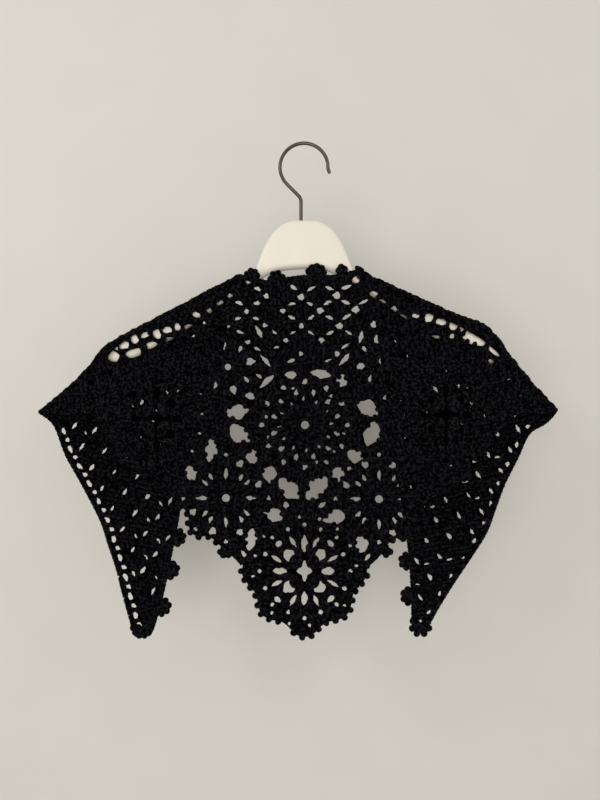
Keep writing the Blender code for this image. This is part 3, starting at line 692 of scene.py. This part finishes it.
def chart_cloth():
    """Marks the cloth, its tails and its flowers on the chart. Gives its neck and lower edges."""
    neck = np.vstack([back(TAIL_INNER[1][::-1], 1), front(NECK_FRONT),
                      back(TAIL_INNER[-1], -1)])
    corner = {side: FOLDS[side].point([FOLDS[side].length], [TURN * CORNER_RADIUS])
              for side in (-1, 1)}
    lower = np.vstack([back(TAIL_OUTER[-1], -1), corner[-1], front(FRONT_EDGE[-1]),
                       front([POINT_INSIDE]), front(FRONT_EDGE[1][::-1]), corner[1],
                       back(TAIL_OUTER[1][::-1], 1)])
    CHART.mark(np.vstack([neck, lower]), GROUND)
    rows, columns = np.nonzero(CHART.label == GROUND)
    flat = np.stack([columns, rows], 1) * CHART.STEP + CHART.low
    for side in (-1, 1):
        _, q = FOLDS[side].split(flat)
        chosen = (q > SEAM_LINE) & (flat[:, 0] * side > SEAM_FROM)
        CHART.label[rows[chosen], columns[chosen]] = TAIL_LABEL[side]
    for k, row in enumerate(FLOWERS):
        CHART.mark(front(rim(row, even_turns(96), MOTIF_INSET)), FIRST_FLOWER + k)
    return neck, lower


def neck_line(neck):
    """The flat neck edge as a smooth line from left to right: places across, and heights."""
    points = neck[np.argsort(neck[:, 0])]
    u = np.arange(-480.0, 481.0, 2.0)
    v = np.interp(u, points[:, 0], points[:, 1])
    blur = np.hanning(31)
    return u, np.convolve(np.pad(v, 15, mode="edge"), blur / blur.sum(), mode="valid")


def shell_gaps(x, z):
    """The gap between four shells of the ground, and most of the slits to its sides."""
    wider = 0.76 + 0.34 * smooth_step((x + z + 210) / 80)
    tilt = vary(-15, 15)
    x += vary(-2.0, 2.0)
    z += vary(-1.5, 1.5)
    loop = front(opening(x, z, SHELL_GAP[0] * wider, SHELL_GAP[1] * wider, tilt, 1.3, 0.1))
    if clear(loop, [GROUND], SHELL_WEB):
        gap(loop)
    for side in (-1, 1):
        if CHANCE.random() < 0.2:
            continue
        tilt = -side * vary(15, 38)
        length = vary(7.5, 11) * wider
        width = vary(2.4, 3.5)
        spot = (x + side * SLIT_AT[0], z + SLIT_AT[1])
        loop = front(opening(*spot, length, width, tilt, 1.9, 0.1))
        if clear(loop, [GROUND], SHELL_WEB):
            gap(loop, radius=YARN * 0.85)


def ground_gaps():
    """The ground's gaps: in the joining net, along the shoulders and between its shells."""
    for *shape, tilt in NET_GAPS:
        gap(front(opening(*shape, tilt, 1.5, 0.07)), lumps=True)
    for *shape, tilt in SHOULDER_GAPS:
        loop = front(opening(*shape, tilt, 3.2, 0.05))
        gap(loop, radius=YARN * 0.95, lumps=shape[2] > 20)
    for j in range(-4, 6):
        for i in range(-4, 5):
            x = CENTRE_SHELL[0] + CELL * (i + 0.5 * (j % 2))
            z = CENTRE_SHELL[1] - ROW * j
            if abs(x) <= LATTICE_HALF - LATTICE_SHRINK * abs(j) and z >= LATTICE_LOW:
                shell_gaps(x, z)


def border_meshes(side):
    """The gaps at a tail's outer edge: a ladder of meshes on the left, some slits on the right."""
    path = even(TAIL_OUTER[side][::-1], BORDER_PITCH[side])
    inwards = -side * sideways(path)
    for n, (spot, inward) in enumerate(zip(path[1:-1], inwards[1:-1])):
        centre = spot + inward * (BORDER_INSET[side] + BORDER_ZIGZAG[side] * (n % 2))
        heading = math.degrees(math.atan2(-inward[0], inward[1]))
        if side > 0:
            skew = heading + vary(-25, 25)
            shape = (vary(4.4, 6.6), vary(2.6, 4.2), skew, 1.5, 0.1)
        elif n % 2:
            shape = (vary(5.0, 6.4), 4.6, heading + vary(25, 50), 1.4, 0.1)
        else:
            shape = (vary(6.8, 8.6), vary(3.8, 5.2), heading + vary(-12, 12), 2.6, 0.08)
        loop = back(opening(*centre, *shape), side)
        if (CHART.at(loop)[0] == TAIL_LABEL[side]).all():
            gap(loop, radius=YARN * 1.05, piece="scarf_tail_net")


def tail_steps(side):
    """A tail's first gap, and the steps to the next ones across and along its rows."""
    return [np.array(TAIL_GAPS[side][key], float) for key in ("first", "across", "along")]


def tail_slits(side):
    """The slanted gaps between one tail's shells, and a thin slit beside about half of them."""
    first, across, along = tail_steps(side)
    for j in range(-12, 9):
        for i in range(-4, 12):
            spot = first + i * across + j * along
            tilt = TAIL_GAPS[side]["tilt"] + vary(-8, 8)
            shape = (vary(6.5, 10), vary(2.0, 3.7))
            wide = back(opening(*spot, *shape, tilt, 1.7, 0.1), side)
            spot = spot + (0.47 * across + 0.25 * along)
            shape = (vary(4.5, 7.5), vary(1.5, 2.4))
            thin = back(opening(*spot, *shape, tilt + 65, 1.9, 0.1), side)
            for slit in (wide, thin)[:1 if CHANCE.random() < 0.45 else 2]:
                low = FOLDS[side].split(slit)[1].min()
                if low > 2.0 * FOLD_RADIUS and clear(slit, [TAIL_LABEL[side]], TAIL_WEB):
                    gap(slit, radius=YARN * 0.9, piece="scarf_tail_net")


def front_rows(neck):
    """The rows of posts of the front's ground, each row along the neck edge."""
    u, v = neck_line(neck)
    slope = np.gradient(v, u)
    down = unit(np.stack([slope, -np.ones_like(slope)], 1))
    t = np.arange(0.0, ROW + 0.1, POST_POINTS)[:, None]
    for k in range(FRONT_ROWS):
        upper = np.stack([u, v - (ROW * k - FIRST_ROW)], 1)
        braid("scarf_rows", even(upper, LINE_POINTS), [GROUND], 0.9)
        run = length_along(upper)
        marks = np.arange(0, run[-1], POST_PITCH)
        ways = at_marks(marks, run, down)
        for n, (spot, way) in enumerate(zip(at_marks(marks, run, upper), ways)):
            if spot[1] < FRONT_END:
                continue
            lean = np.array([-way[1], way[0]]) * (FAN_LEAN * math.sin(2 * math.pi * n / FAN_POSTS))
            lean = lean + (vary(-0.8, 0.8), 0.0)
            line = spot + way * t + lean * (t / ROW)
            if (CHART.at(line[::10])[0] > 0).any():
                post("scarf_ground", line, [GROUND], vary(0, 6), vary(-0.4, 0.7))


def tail_rows(side):
    """The rows of posts of one tail, which run down along its inner edge."""
    first, across, along = tail_steps(side)
    row = across - 2 * along
    row_length = float(np.linalg.norm(row))
    row = row / row_length
    way = across / np.linalg.norm(across)
    width = abs(across[0] * along[1] - across[1] * along[0]) / row_length
    label = TAIL_LABEL[side]
    normal = np.array([-row[1], row[0]])
    normal = normal * math.copysign(1, normal @ way)
    reach = width / float(normal @ way)
    t = np.arange(0.0, reach + 0.1, POST_POINTS)[:, None]
    for k in range(-22, 23):
        edge = first + way * reach * (k + 0.5)
        line = edge + row * np.arange(-TAIL_REACH, TAIL_REACH, LINE_POINTS)[:, None]
        braid("scarf_tail_rows", back(line, side), [label], 0.9)
        for distance in np.arange(-TAIL_REACH, TAIL_REACH, POST_PITCH):
            flat = back(edge + row * distance + way * t, side)
            if (CHART.at(flat[::6])[0] == label).any():
                flat = flat + np.linspace(-0.5, 0.5, len(flat))[:, None] * vary(-1, 1)
                post("scarf_tails", flat, [label], vary(0, 6), vary(-0.4, 0.7))


def rim(row, angles, inset):
    """A flower's scalloped outline, moved inwards, in the plane of the photograph."""
    _, x, z, half_width, half_height, kind = row
    count, depth, further = SCALLOPS[kind]
    reach = 1 + depth * np.cos(count * angles) + further * np.cos(4 * angles)
    return np.stack([x + (half_width * reach - inset) * np.cos(angles),
                     z + (half_height * reach - inset) * np.sin(angles)], 1)


def polar(row, r, a):
    """A spot of a flower in the photograph's plane, from its distance and angle."""
    _, x, z, half_width, half_height, kind = row
    r = np.asarray(r, float) / UNIT[kind]
    return np.stack([x + r * half_width * np.cos(a), z + r * half_height * np.sin(a)], -1)


def scale_of(row):
    return (row[3] + row[4]) / 2 / UNIT[row[5]]


def round_of_posts(row, label, inner, outer, piece):
    """One round of a flower: tall stitches from an inner to an outer circle."""
    scale = scale_of(row)
    count = max(8, int(round(math.pi * (inner + outer) * scale / POST_PITCH)))
    r = np.arange(inner, outer + 0.01, POST_POINTS / scale)
    for a in even_turns(count, 0.5):
        line = front(polar(row, r, a + np.linspace(0, vary(-0.04, 0.04), len(r))))
        post(piece, line, [label], vary(0, 6), vary(-0.2, 0.9), 1.0, 2.6)


def round_of_loops(row, label, radius, piece):
    """The loops at the top of a flower's round."""
    a = even_turns(int(2 * math.pi * radius * scale_of(row) / LINE_POINTS))
    braid(piece, front(polar(row, np.full(len(a), radius), a)), [label], 1.0, 3.0)


def flower_openings(row, label, piece):
    """A flower's openings, round by round, each a little different from the next."""
    scale = scale_of(row)
    unevenness = 0.05 if row[5] == "blossom" else 0.13
    for count, first, distance, length, width, turn in OPENINGS[row[5]]:
        for n, a in enumerate(even_turns(count, first)):
            x, z = polar(row, distance + vary(-0.8, 0.8), a)
            heading = math.degrees(a + turn * (-1) ** n + vary(-0.08, 0.08))
            long = length * scale * vary(0.88, 1.08)
            wide = width * scale * vary(0.88, 1.08)
            loop = front(opening(x, z, long, wide, heading, 1.6, unevenness))
            if clear(loop, [GROUND, label], 1.1):
                gap(loop, radius=YARN * 0.9, piece=piece)


def scalloped_rim(row, piece):
    """The lumps round a flower's scalloped edge and the cords that carry them, off the gaps."""
    line = rim(row, even_turns(241), RIM_INSETS[0])
    line = np.vstack([line, line[:1]])
    run = length_along(line)
    count = int(round(run[-1] / RIM_LUMPS))
    marks = (np.arange(count) + 0.5) / count * run[-1]
    for spot in front(at_marks(marks, run, line)):
        if not CHART.at(ring(*spot, 4.0, 4.0))[1].any():
            lump(piece, spot, vary(3.2, 3.8), vary(0, 0.6))
    for inset in RIM_INSETS[1:]:
        line = front(rim(row, even_turns(361), inset))
        for first, last in stretches(line, ALL_LABELS, 6.0):
            cord(piece, line[first:last], YARN * 1.1, 0.4)


def middle_of_blossom(row, piece):
    """A blossom's four bobbles, which stand round its star-shaped hole."""
    _, x, z, half_width, half_height, kind = row
    across = half_width / UNIT[kind]
    up = half_height / UNIT[kind]
    for n, a in enumerate(even_turns(4, 0.5)):
        puff(piece, x + BOBBLE_AT[0] * across * math.cos(a),
             z + BOBBLE_AT[1] * up * math.sin(a), BOBBLE_HALF[0] * across,
             BOBBLE_HALF[1] * up, math.degrees(math.pi / 2 + 0.35 * (-1) ** n))


def flower(row, label):
    """A motif: rounds of tall stitches with openings between them, then a scalloped edge."""
    name, x, z, _, _, kind = row
    piece = "yarn_" + name
    if kind == "blossom":
        star = [polar(row, STAR[n % 4], a) for n, a in enumerate(even_turns(16))]
        gap(front((np.array(star) - (x, z)) * (STAR_WIDTH, STAR_HEIGHT) + (x, z)), corded=False)
    else:
        hole = HOLE * max(scale_of(row), HOLE_SCALE)
        gap(front(ring(x, z, hole, hole)), radius=YARN * 1.5, piece=piece)
    flower_openings(row, label, piece)
    rounds = STITCH_ROUNDS[kind]
    for inner, outer in rounds:
        round_of_posts(row, label, inner, outer, piece)
        if inner > rounds[0][0]:
            round_of_loops(row, label, inner, piece)
    if kind == "blossom":
        middle_of_blossom(row, piece)
    scalloped_rim(row, piece)


def fan(centre, heading, out, width, height, count):
    """A fan of lumps that stands on the cloth's edge: an outer row, then a lower inner one."""
    size = 3.7
    for k in range(count):
        a = math.pi * (k + 0.5) / count
        spot = (centre - heading * (width / 2 - size) * math.cos(a)
                + out * (1.0 + (height - size - 1.0) * math.sin(a)))
        lump("scarf_edge", spot, vary(3.5, 4.0), vary(-0.5, 0.5))
    for k in range(count - 1):
        a = math.pi * (k + 1) / count
        spot = (centre - heading * (width / 2 - size) * 0.6 * math.cos(a)
                + out * (0.5 + (height - size) * 0.35 * math.sin(a)))
        lump("scarf_edge", spot, size, 0.2)


def neck_edge(neck):
    """The two cords of the neck edge and the tails' inner edges, with their fans and tips."""
    line = even(neck, 2.0)
    left = sideways(line)
    for inset, lift in ((0.6, 0.2), (3.0, 0.3)):
        twisted("scarf_edge", line + left * inset, YARN, 0.95, 6.5, lift)
    heading = unit(np.gradient(line, axis=0))

    def fan_at(spot, width, height, count):
        i = int(np.argmin(np.linalg.norm(line - spot, axis=1)))
        fan(line[i], heading[i], -left[i], width, height, count)

    for x, width, height, count in NECK_FANS:
        z = np.interp(-x, [-40, 40], [-130, -137])
        fan_at(front([(x, z)])[0], width, height, count)
    for side in (-1, 1):
        points = np.array(TAIL_INNER[side], float)
        for z in TAIL_FANS[side]:
            x = np.interp(-z, -points[:, 1], points[:, 0])
            fan_at(back([(x, z)], side)[0], FAN_WIDTH, FAN_HEIGHT, 4)
        x, z, radius, first, last = TAIL_TIPS[side]
        for share, count in ((1.0, 6), (0.4, 4)):
            a = np.radians(np.linspace(first, last, count))
            spots = np.stack([x + share * radius * np.cos(a), z + share * radius * np.sin(a)], 1)
            for spot in back(spots, side):
                lump("scarf_edge", spot, vary(3.3, 3.9), vary(-0.4, 0.4))


def lower_edge(lower):
    """The fans under the low flowers and the cord of the lower and outer edges."""
    for x, z, width, height, count in LOW_FANS:
        fan(front([(x, z)])[0], np.array([1.0, 0.0]), np.array([0.0, -1.0]), width, height, count)
    line = even(lower, LINE_POINTS)
    for first, last in stretches(line + sideways(line) * 3.0, PLAIN, 8.0):
        twisted("scarf_edge", even(line[first:last], 2.0), YARN * 1.05, 0.95, 6.0, 0.2)


def add_to_scene(name, data, location=(0, 0, 0)):
    """A new object with a mesh, a lamp or a camera in it."""
    thing = bpy.data.objects.new(name, data)
    thing.location = location
    bpy.context.scene.collection.objects.link(thing)
    return thing


def new_thing(name, points, faces, location=(0, 0, 0)):
    """A smooth object from points in millimetres and faces."""
    mesh = bpy.data.meshes.new(name)
    mesh.from_pydata((np.asarray(points) * MM).tolist(), [], faces)
    mesh.shade_smooth()
    return add_to_scene(name, mesh, location)


def lay_uv(thing, uv):
    """Gives each corner of each face its share of a turn round the yarn and along its plies."""
    layer = thing.data.uv_layers.new(name="yarn")
    layer.data.foreach_set("uv", np.asarray(uv, np.float32).ravel())


def cloth_sheet(name, cell=3):
    """One thin sheet through the middle of the stitches, with every gap left open.

    Its faces are squares of the chart, a few spots wide, cut where the cloth ends.
    """
    solid = (CHART.label > 0) & ~CHART.gap
    height = solid.shape[0] // cell
    width = solid.shape[1] // cell
    field = solid[:height * cell, :width * cell].reshape(height, cell, width, cell)
    field = field.mean((1, 3)) - 0.5
    inside = field > 0
    spots = []

    def numbered(chosen, right, up):
        """Numbers new points at the chosen squares, or on the way to the next ones."""
        rows, columns = np.nonzero(chosen)
        index = np.full(field.shape, -1)
        index[rows, columns] = np.arange(len(rows)) + sum(len(part) for part in spots)
        share = 0.0
        if right or up:
            here = field[rows, columns]
            share = here / (here - field[rows + up, columns + right])
        spots.append(np.stack([columns + right * share, rows + up * share], 1))
        return index

    node = numbered(inside, 0, 0)
    level = numbered(inside[:, 1:] != inside[:, :-1], 1, 0)
    upright = numbered(inside[1:] != inside[:-1], 0, 1)
    flat = (np.vstack(spots) * cell + (cell - 1) / 2) * CHART.STEP + CHART.low

    held = (inside[:-1, :-1].astype(int) + inside[:-1, 1:] + inside[1:, 1:] + inside[1:, :-1])
    rows, columns = np.nonzero(held == 4)
    faces = np.stack([node[rows, columns], node[rows, columns + 1],
                      node[rows + 1, columns + 1], node[rows + 1, columns]], 1).tolist()
    for r, c in zip(*np.nonzero((held > 0) & (held < 4))):
        corners = (node[r, c], node[r, c + 1], node[r + 1, c + 1], node[r + 1, c])
        sides = (level[r, c], upright[r, c + 1], level[r + 1, c], upright[r, c])
        faces.append([int(n) for pair in zip(corners, sides) for n in pair if n >= 0])
    thing = new_thing(name, place(flat), faces)
    lay_uv(thing, flat[[n for face in faces for n in face]] / (1.5 * POST_PITCH, 60.0))
    return thing


def tube_mesh(name, strands, sides=6):
    """One mesh with every strand of a piece as a tube, and rounded ends on the open ones."""
    flat = np.vstack([s.flat for s in strands])
    lift = np.concatenate([s.lift for s in strands])
    radius = np.concatenate([s.radius for s in strands])
    counts = [len(s.flat) for s in strands]
    wide = np.repeat([s.wide for s in strands], counts)
    starts = np.cumsum(counts) - counts
    before = np.arange(len(flat)) - 1
    after = np.arange(len(flat)) + 1
    for start, count, s in zip(starts, counts, strands):
        last = start + count - 1
        before[start] = last if s.closed else start
        after[last] = start if s.closed else last
    normal = outward(flat)
    spots = place(flat) + normal * lift[:, None]
    run = unit(spots[after] - spots[before])
    across = unit(np.cross(normal, run))
    up = np.cross(run, across)
    a = even_turns(sides)[None, :, None]
    rings = (across[:, None] * np.cos(a) * wide[:, None, None] + up[:, None] * np.sin(a))
    rings = spots[:, None] + rings * radius[:, None, None]

    step = np.linalg.norm(spots - spots[before], axis=1)
    turn = np.zeros(len(flat))
    here = []
    tips = []
    tip_faces = [np.zeros((0, 3), int)]
    tip_uv = []
    k = np.arange(sides)
    following = (k + 1) % sides
    for start, count, s in zip(starts, counts, strands):
        along = np.cumsum(step[start:start + count]) - step[start]
        turn[start:start + count] = along / PLY_PITCH + vary(0, 10)
        here.append(np.arange(start, start + count - (not s.closed)))
        ends = [] if s.closed else [(start, -1), (start + count - 1, 1)]
        for end, way in ends:
            first, second = (k, following)[::way]
            tip = np.full(sides, len(flat) * sides + len(tips))
            tips.append(spots[end] + run[end] * way * radius[end] * 0.6)
            tip_faces.append(np.stack([end * sides + first, end * sides + second, tip], 1))
            tip_uv.append(np.repeat(np.stack([k / sides, np.full(sides, turn[end])], 1), 3, 0))
    here = np.concatenate(here)[:, None]
    there = after[here]
    quads = np.stack([here * sides + k, here * sides + following,
                      there * sides + following, there * sides + k], 2).reshape(-1, 4)
    u = np.broadcast_to(k / sides, (len(here), sides))
    next_u = u + 1 / sides
    v = np.broadcast_to(turn[here], u.shape)
    next_v = v + step[there] / PLY_PITCH
    quad_uv = np.stack([u, v, next_u, v, next_u, next_v, u, next_v], 2).reshape(-1, 2)
    thing = new_thing(name, np.vstack([rings.reshape(-1, 3), *tips]),
                      quads.tolist() + np.vstack(tip_faces).tolist())
    lay_uv(thing, np.vstack([quad_uv, *tip_uv]))
    return thing


def swept(name, rings, reverse=False):
    """A closed object through rings of points, which run clockwise or, reversed, the other way."""
    rings = np.array(rings)
    sides = rings.shape[1]
    total = len(rings) * sides
    faces = []
    for k in range(0, total - sides, sides):
        for n in range(sides):
            m = (n + 1) % sides
            faces.append((k + n, k + sides + n, k + sides + m, k + m))
    faces.append(tuple(range(sides)))
    faces.append(tuple(range(total - 1, total - 1 - sides, -1)))
    if reverse:
        faces = [(face[0], *face[:0:-1]) for face in faces]
    return new_thing(name, rings.reshape(-1, 3), faces)


def build_hanger():
    """The hanger: upright rings with round tops, swept from one arm's end to the other's."""
    half = np.array(HANGER_SECTIONS)
    rows = even(np.vstack([half[:0:-1] * (-1, 1, 1), half]), 3.0)
    slopes = np.gradient(rows[:, 1]) / np.gradient(rows[:, 0])
    steps = 10
    a = math.pi * np.arange(steps + 1) / steps - math.pi / 2
    side = np.copysign(np.abs(np.sin(a)) ** 0.8, np.sin(a))
    fall = 1 - np.cos(a) ** 0.8
    rings = []
    for (x, top, low), slope in zip(rows, slopes):
        height = min(ARM_THICK / 2 * math.hypot(1, slope), (top - low) / 2 - 0.4)
        thick = ARM_THICK / 2 * (1 - 0.35 * smooth_step((abs(x) - ARM_END + ARM_TAPER) / ARM_TAPER))
        upper = np.stack([np.full(steps + 1, x), thick * side, top - height * fall], 1)
        lower = np.stack([np.full(steps + 1, x), thick * side, low + height * fall], 1)
        rings.append(np.vstack([upper, lower[::-1]]))
    thing = swept("hanger_shell", rings)
    thing.data.validate()
    return thing


def hook_path():
    """The wire's centreline: the round hook, then the slanted neck and the shaft."""
    centre_z = HOOK_TOP - HOOK_RADIUS
    path = [(HOOK_RADIUS + HOOK_TIP[0], centre_z + HOOK_TIP[1])]
    for k in range(19):
        a = math.radians(HOOK_FROM + HOOK_TURN * k / 18)
        path.append((HOOK_RADIUS * math.cos(a), centre_z + HOOK_RADIUS * math.sin(a)))
    for k in range(5):
        a = math.radians(BEND_TURN - BEND_TURN * k / 4)
        path.append((SHAFT_X - BEND + BEND * math.cos(a), BEND_Z + BEND * math.sin(a)))
    path.append((SHAFT_X, HANGER_TOP - SHAFT_IN))
    return path


def build_hook():
    """The hook: a round wire, slightly thinner at its free end."""
    path = even(hook_path(), 1.6)
    radii = np.full(len(path), WIRE / 2)
    radii[0] *= 0.8
    a = even_turns(16)
    rings = []
    for (x, z), (left_x, left_z), radius in zip(path, sideways(path), radii):
        rings.append(np.stack([x + left_x * radius * np.cos(a), radius * np.sin(a),
                               z + left_z * radius * np.cos(a)], 1))
    thing = swept("hook_wire", rings, reverse=True)
    thing.data.set_sharp_from_angle(angle=math.radians(50))
    return thing


class Surface:
    """A material in the making. Its functions add nodes, already joined to what feeds them."""

    def __init__(self, name):
        self.material = bpy.data.materials.new(name)
        self.material.use_nodes = True
        self.nodes = self.material.node_tree.nodes
        self.shader = self.nodes["Principled BSDF"]

    def feed(self, node, inputs):
        """Sets a node's inputs, by name or number, to values or to other nodes' outputs."""
        for key, value in inputs.items():
            if isinstance(value, bpy.types.NodeSocket):
                self.material.node_tree.links.new(value, node.inputs[key])
            else:
                node.inputs[key].default_value = value

    def node(self, kind, inputs):
        """A new node of a kind, with its inputs fed."""
        made = self.nodes.new("ShaderNode" + kind)
        self.feed(made, inputs)
        return made

    def maths(self, operation, *inputs):
        made = self.nodes.new("ShaderNodeMath")
        made.operation = operation
        self.feed(made, dict(enumerate(inputs)))
        return made.outputs[0]

    def noise(self, scale, detail=2.0):
        """A noise that stays with the object."""
        where = self.node("TexCoord", {}).outputs["Object"]
        made = self.node("TexNoise", {"Vector": where, "Scale": scale, "Detail": detail})
        return made.outputs["Fac"]

    def tones(self, source, *stops):
        """Colours between two stops, each a value of the source and its colour."""
        made = self.node("ValToRGB", {0: source})
        for element, (position, colour) in zip(made.color_ramp.elements, stops):
            element.position = position
            element.color = (*colour, 1)
        return made.outputs[0]

    def bump(self, source, strength, distance):
        made = self.node("Bump", {"Height": source, "Strength": strength,
                                  "Distance": distance * MM})
        return made.outputs["Normal"]


def yarn_material(name, shade):
    """Matte black cotton yarn with twisted plies and a faint cool sheen. A shade below one darkens
    its colour, specular and sheen as painted shade.
    """
    surface = Surface(name)
    uv = surface.node("UVMap", {})
    uv.uv_map = "yarn"
    parts = surface.node("SeparateXYZ", {0: uv.outputs["UV"]}).outputs
    turns = surface.maths("MULTIPLY_ADD", parts["X"], 3.0, parts["Y"])
    wave = surface.maths("SINE", surface.maths("MULTIPLY", turns, 2 * math.pi))
    fuzzy_wave = surface.maths("MULTIPLY_ADD", surface.noise(2400, 3), 0.6, wave)
    stops = [(at, [c * shade for c in colour]) for at, colour in YARN_TONES]
    surface.feed(surface.shader, {
        "Base Color": surface.tones(surface.noise(380, 3), *stops),
        "Roughness": 0.85,
        "Specular IOR Level": 0.006 * shade,
        "Sheen Weight": 0.012 * shade,
        "Sheen Roughness": 0.45,
        "Sheen Tint": (0.72, 0.75, 1.0, 1),
        "Normal": surface.bump(fuzzy_wave, 0.8, 0.22),
    })
    return surface.material


def plain_surface(name, colour, roughness, metallic, grain, bump_height, darker):
    """A surface with a fine grain and slight changes of tone."""
    surface = Surface(name)
    fine = surface.noise(grain, 4)
    rough = surface.node("MapRange", {"Value": fine, "To Min": roughness - 0.06,
                                      "To Max": roughness + 0.06})
    dark = [c * darker for c in colour]
    surface.feed(surface.shader, {
        "Base Color": surface.tones(surface.noise(grain / 20), (0.35, dark), (0.65, colour)),
        "Metallic": metallic,
        "Roughness": rough.outputs[0],
        "Normal": surface.bump(fine, 0.3, bump_height),
    })
    return surface


def see_through_from_behind(surface):
    """Hides a surface from an eye behind it, so that the part can be seen from all sides."""
    mix = surface.node("MixShader", {
        0: surface.node("NewGeometry", {}).outputs["Backfacing"],
        1: surface.shader.outputs[0],
        2: surface.node("BsdfTransparent", {}).outputs[0],
    })
    surface.feed(surface.nodes["Material Output"], {"Surface": mix.outputs[0]})


def build_stage():
    """A pale wall behind, a pale floor far below, soft lights, and the camera."""
    paint = plain_surface("wall_paint", (0.575, 0.562, 0.524), roughness=0.7, metallic=0.0,
                          grain=260, bump_height=0.25, darker=0.985)
    see_through_from_behind(paint)
    half = ROOM / 2
    square = [(-half, -half, 0), (half, -half, 0), (half, half, 0), (-half, half, 0)]
    for name, location, turn in (("wall", (0, WALL_Y * MM, WALL_Z * MM), math.radians(90)),
                                 ("floor", (0, 0, FLOOR_Z * MM), 0.0)):
        thing = new_thing(name, square, [(0, 1, 2, 3)], location)
        thing.rotation_euler = (turn, 0, 0)
        thing.data.materials.append(paint.material)

    world = bpy.data.worlds.new("studio")
    bpy.context.scene.world = world
    world.use_nodes = True
    background = world.node_tree.nodes["Background"]
    background.inputs["Color"].default_value = ROOM_LIGHT
    background.inputs["Strength"].default_value = ROOM_STRENGTH
    bpy.context.scene.view_settings.view_transform = "Standard"

    for name, location, size, power, colour in LAMPS:
        data = bpy.data.lights.new(name, "AREA")
        data.energy = power
        data.size = size
        data.color = colour
        way = Vector(LAMP_TARGET) - Vector(location)
        add_to_scene(name, data, location).rotation_euler = way.to_track_quat("-Z", "Y").to_euler()

    camera = bpy.data.cameras.new("camera")
    camera.lens = LENS
    camera.sensor_width = SENSOR
    thing = add_to_scene("camera", camera, (VIEW_X * MM, -VIEW_DISTANCE * MM, VIEW_Z * MM))
    thing.rotation_euler = (math.radians(90), 0, 0)
    bpy.context.scene.camera = thing


def lay_out_scarf():
    """Fills the chart, the gaps and the strands of every piece."""
    neck, lower = chart_cloth()
    ground_gaps()
    for side in (-1, 1):
        border_meshes(side)
        tail_slits(side)
    for k, row in enumerate(FLOWERS):
        flower(row, FIRST_FLOWER + k)
    front_rows(neck)
    for side in (-1, 1):
        tail_rows(side)
    neck_edge(neck)
    lower_edge(lower)
    for loop, radius, piece in GAPS:
        cord(piece, loop, radius, 0.4, True)


def main():
    lay_out_scarf()
    yarn = yarn_material("black_yarn", 1.0)
    cloth = cloth_sheet("scarf_cloth")
    # The sheet through the stitches gets the yarn at a quarter of its tone: painted shade of the
    # hollows between the stitches.
    cloth.data.materials.append(yarn_material("black_yarn_painted_shade", 0.25))
    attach(cloth, "root")
    for name in STRANDS:
        thing = tube_mesh(name, STRANDS[name])
        thing.data.materials.append(yarn)
        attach(thing, "root")
    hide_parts("ground_front")
    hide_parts("tail_left", "tail_right")
    for row in FLOWERS:
        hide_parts(row[0])

    shell = build_hanger()
    lacquer = plain_surface("cream_lacquer", (0.675, 0.623, 0.536), roughness=0.42, metallic=0.0,
                            grain=700, bump_height=0.05, darker=0.97)
    shell.data.materials.append(lacquer.material)
    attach(shell, "root")
    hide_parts("hanger_body")
    wire = build_hook()
    nickel = plain_surface("dark_nickel", (0.10, 0.09, 0.08), roughness=0.30, metallic=1.0,
                           grain=900, bump_height=0.03, darker=0.8)
    wire.data.materials.append(nickel.material)
    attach(wire, "root")
    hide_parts("hanger_hook")

    # The spots of the chart that the flat cloth covers, gaps included
    rows, columns = np.nonzero(CHART.label)

    build_stage()


main()
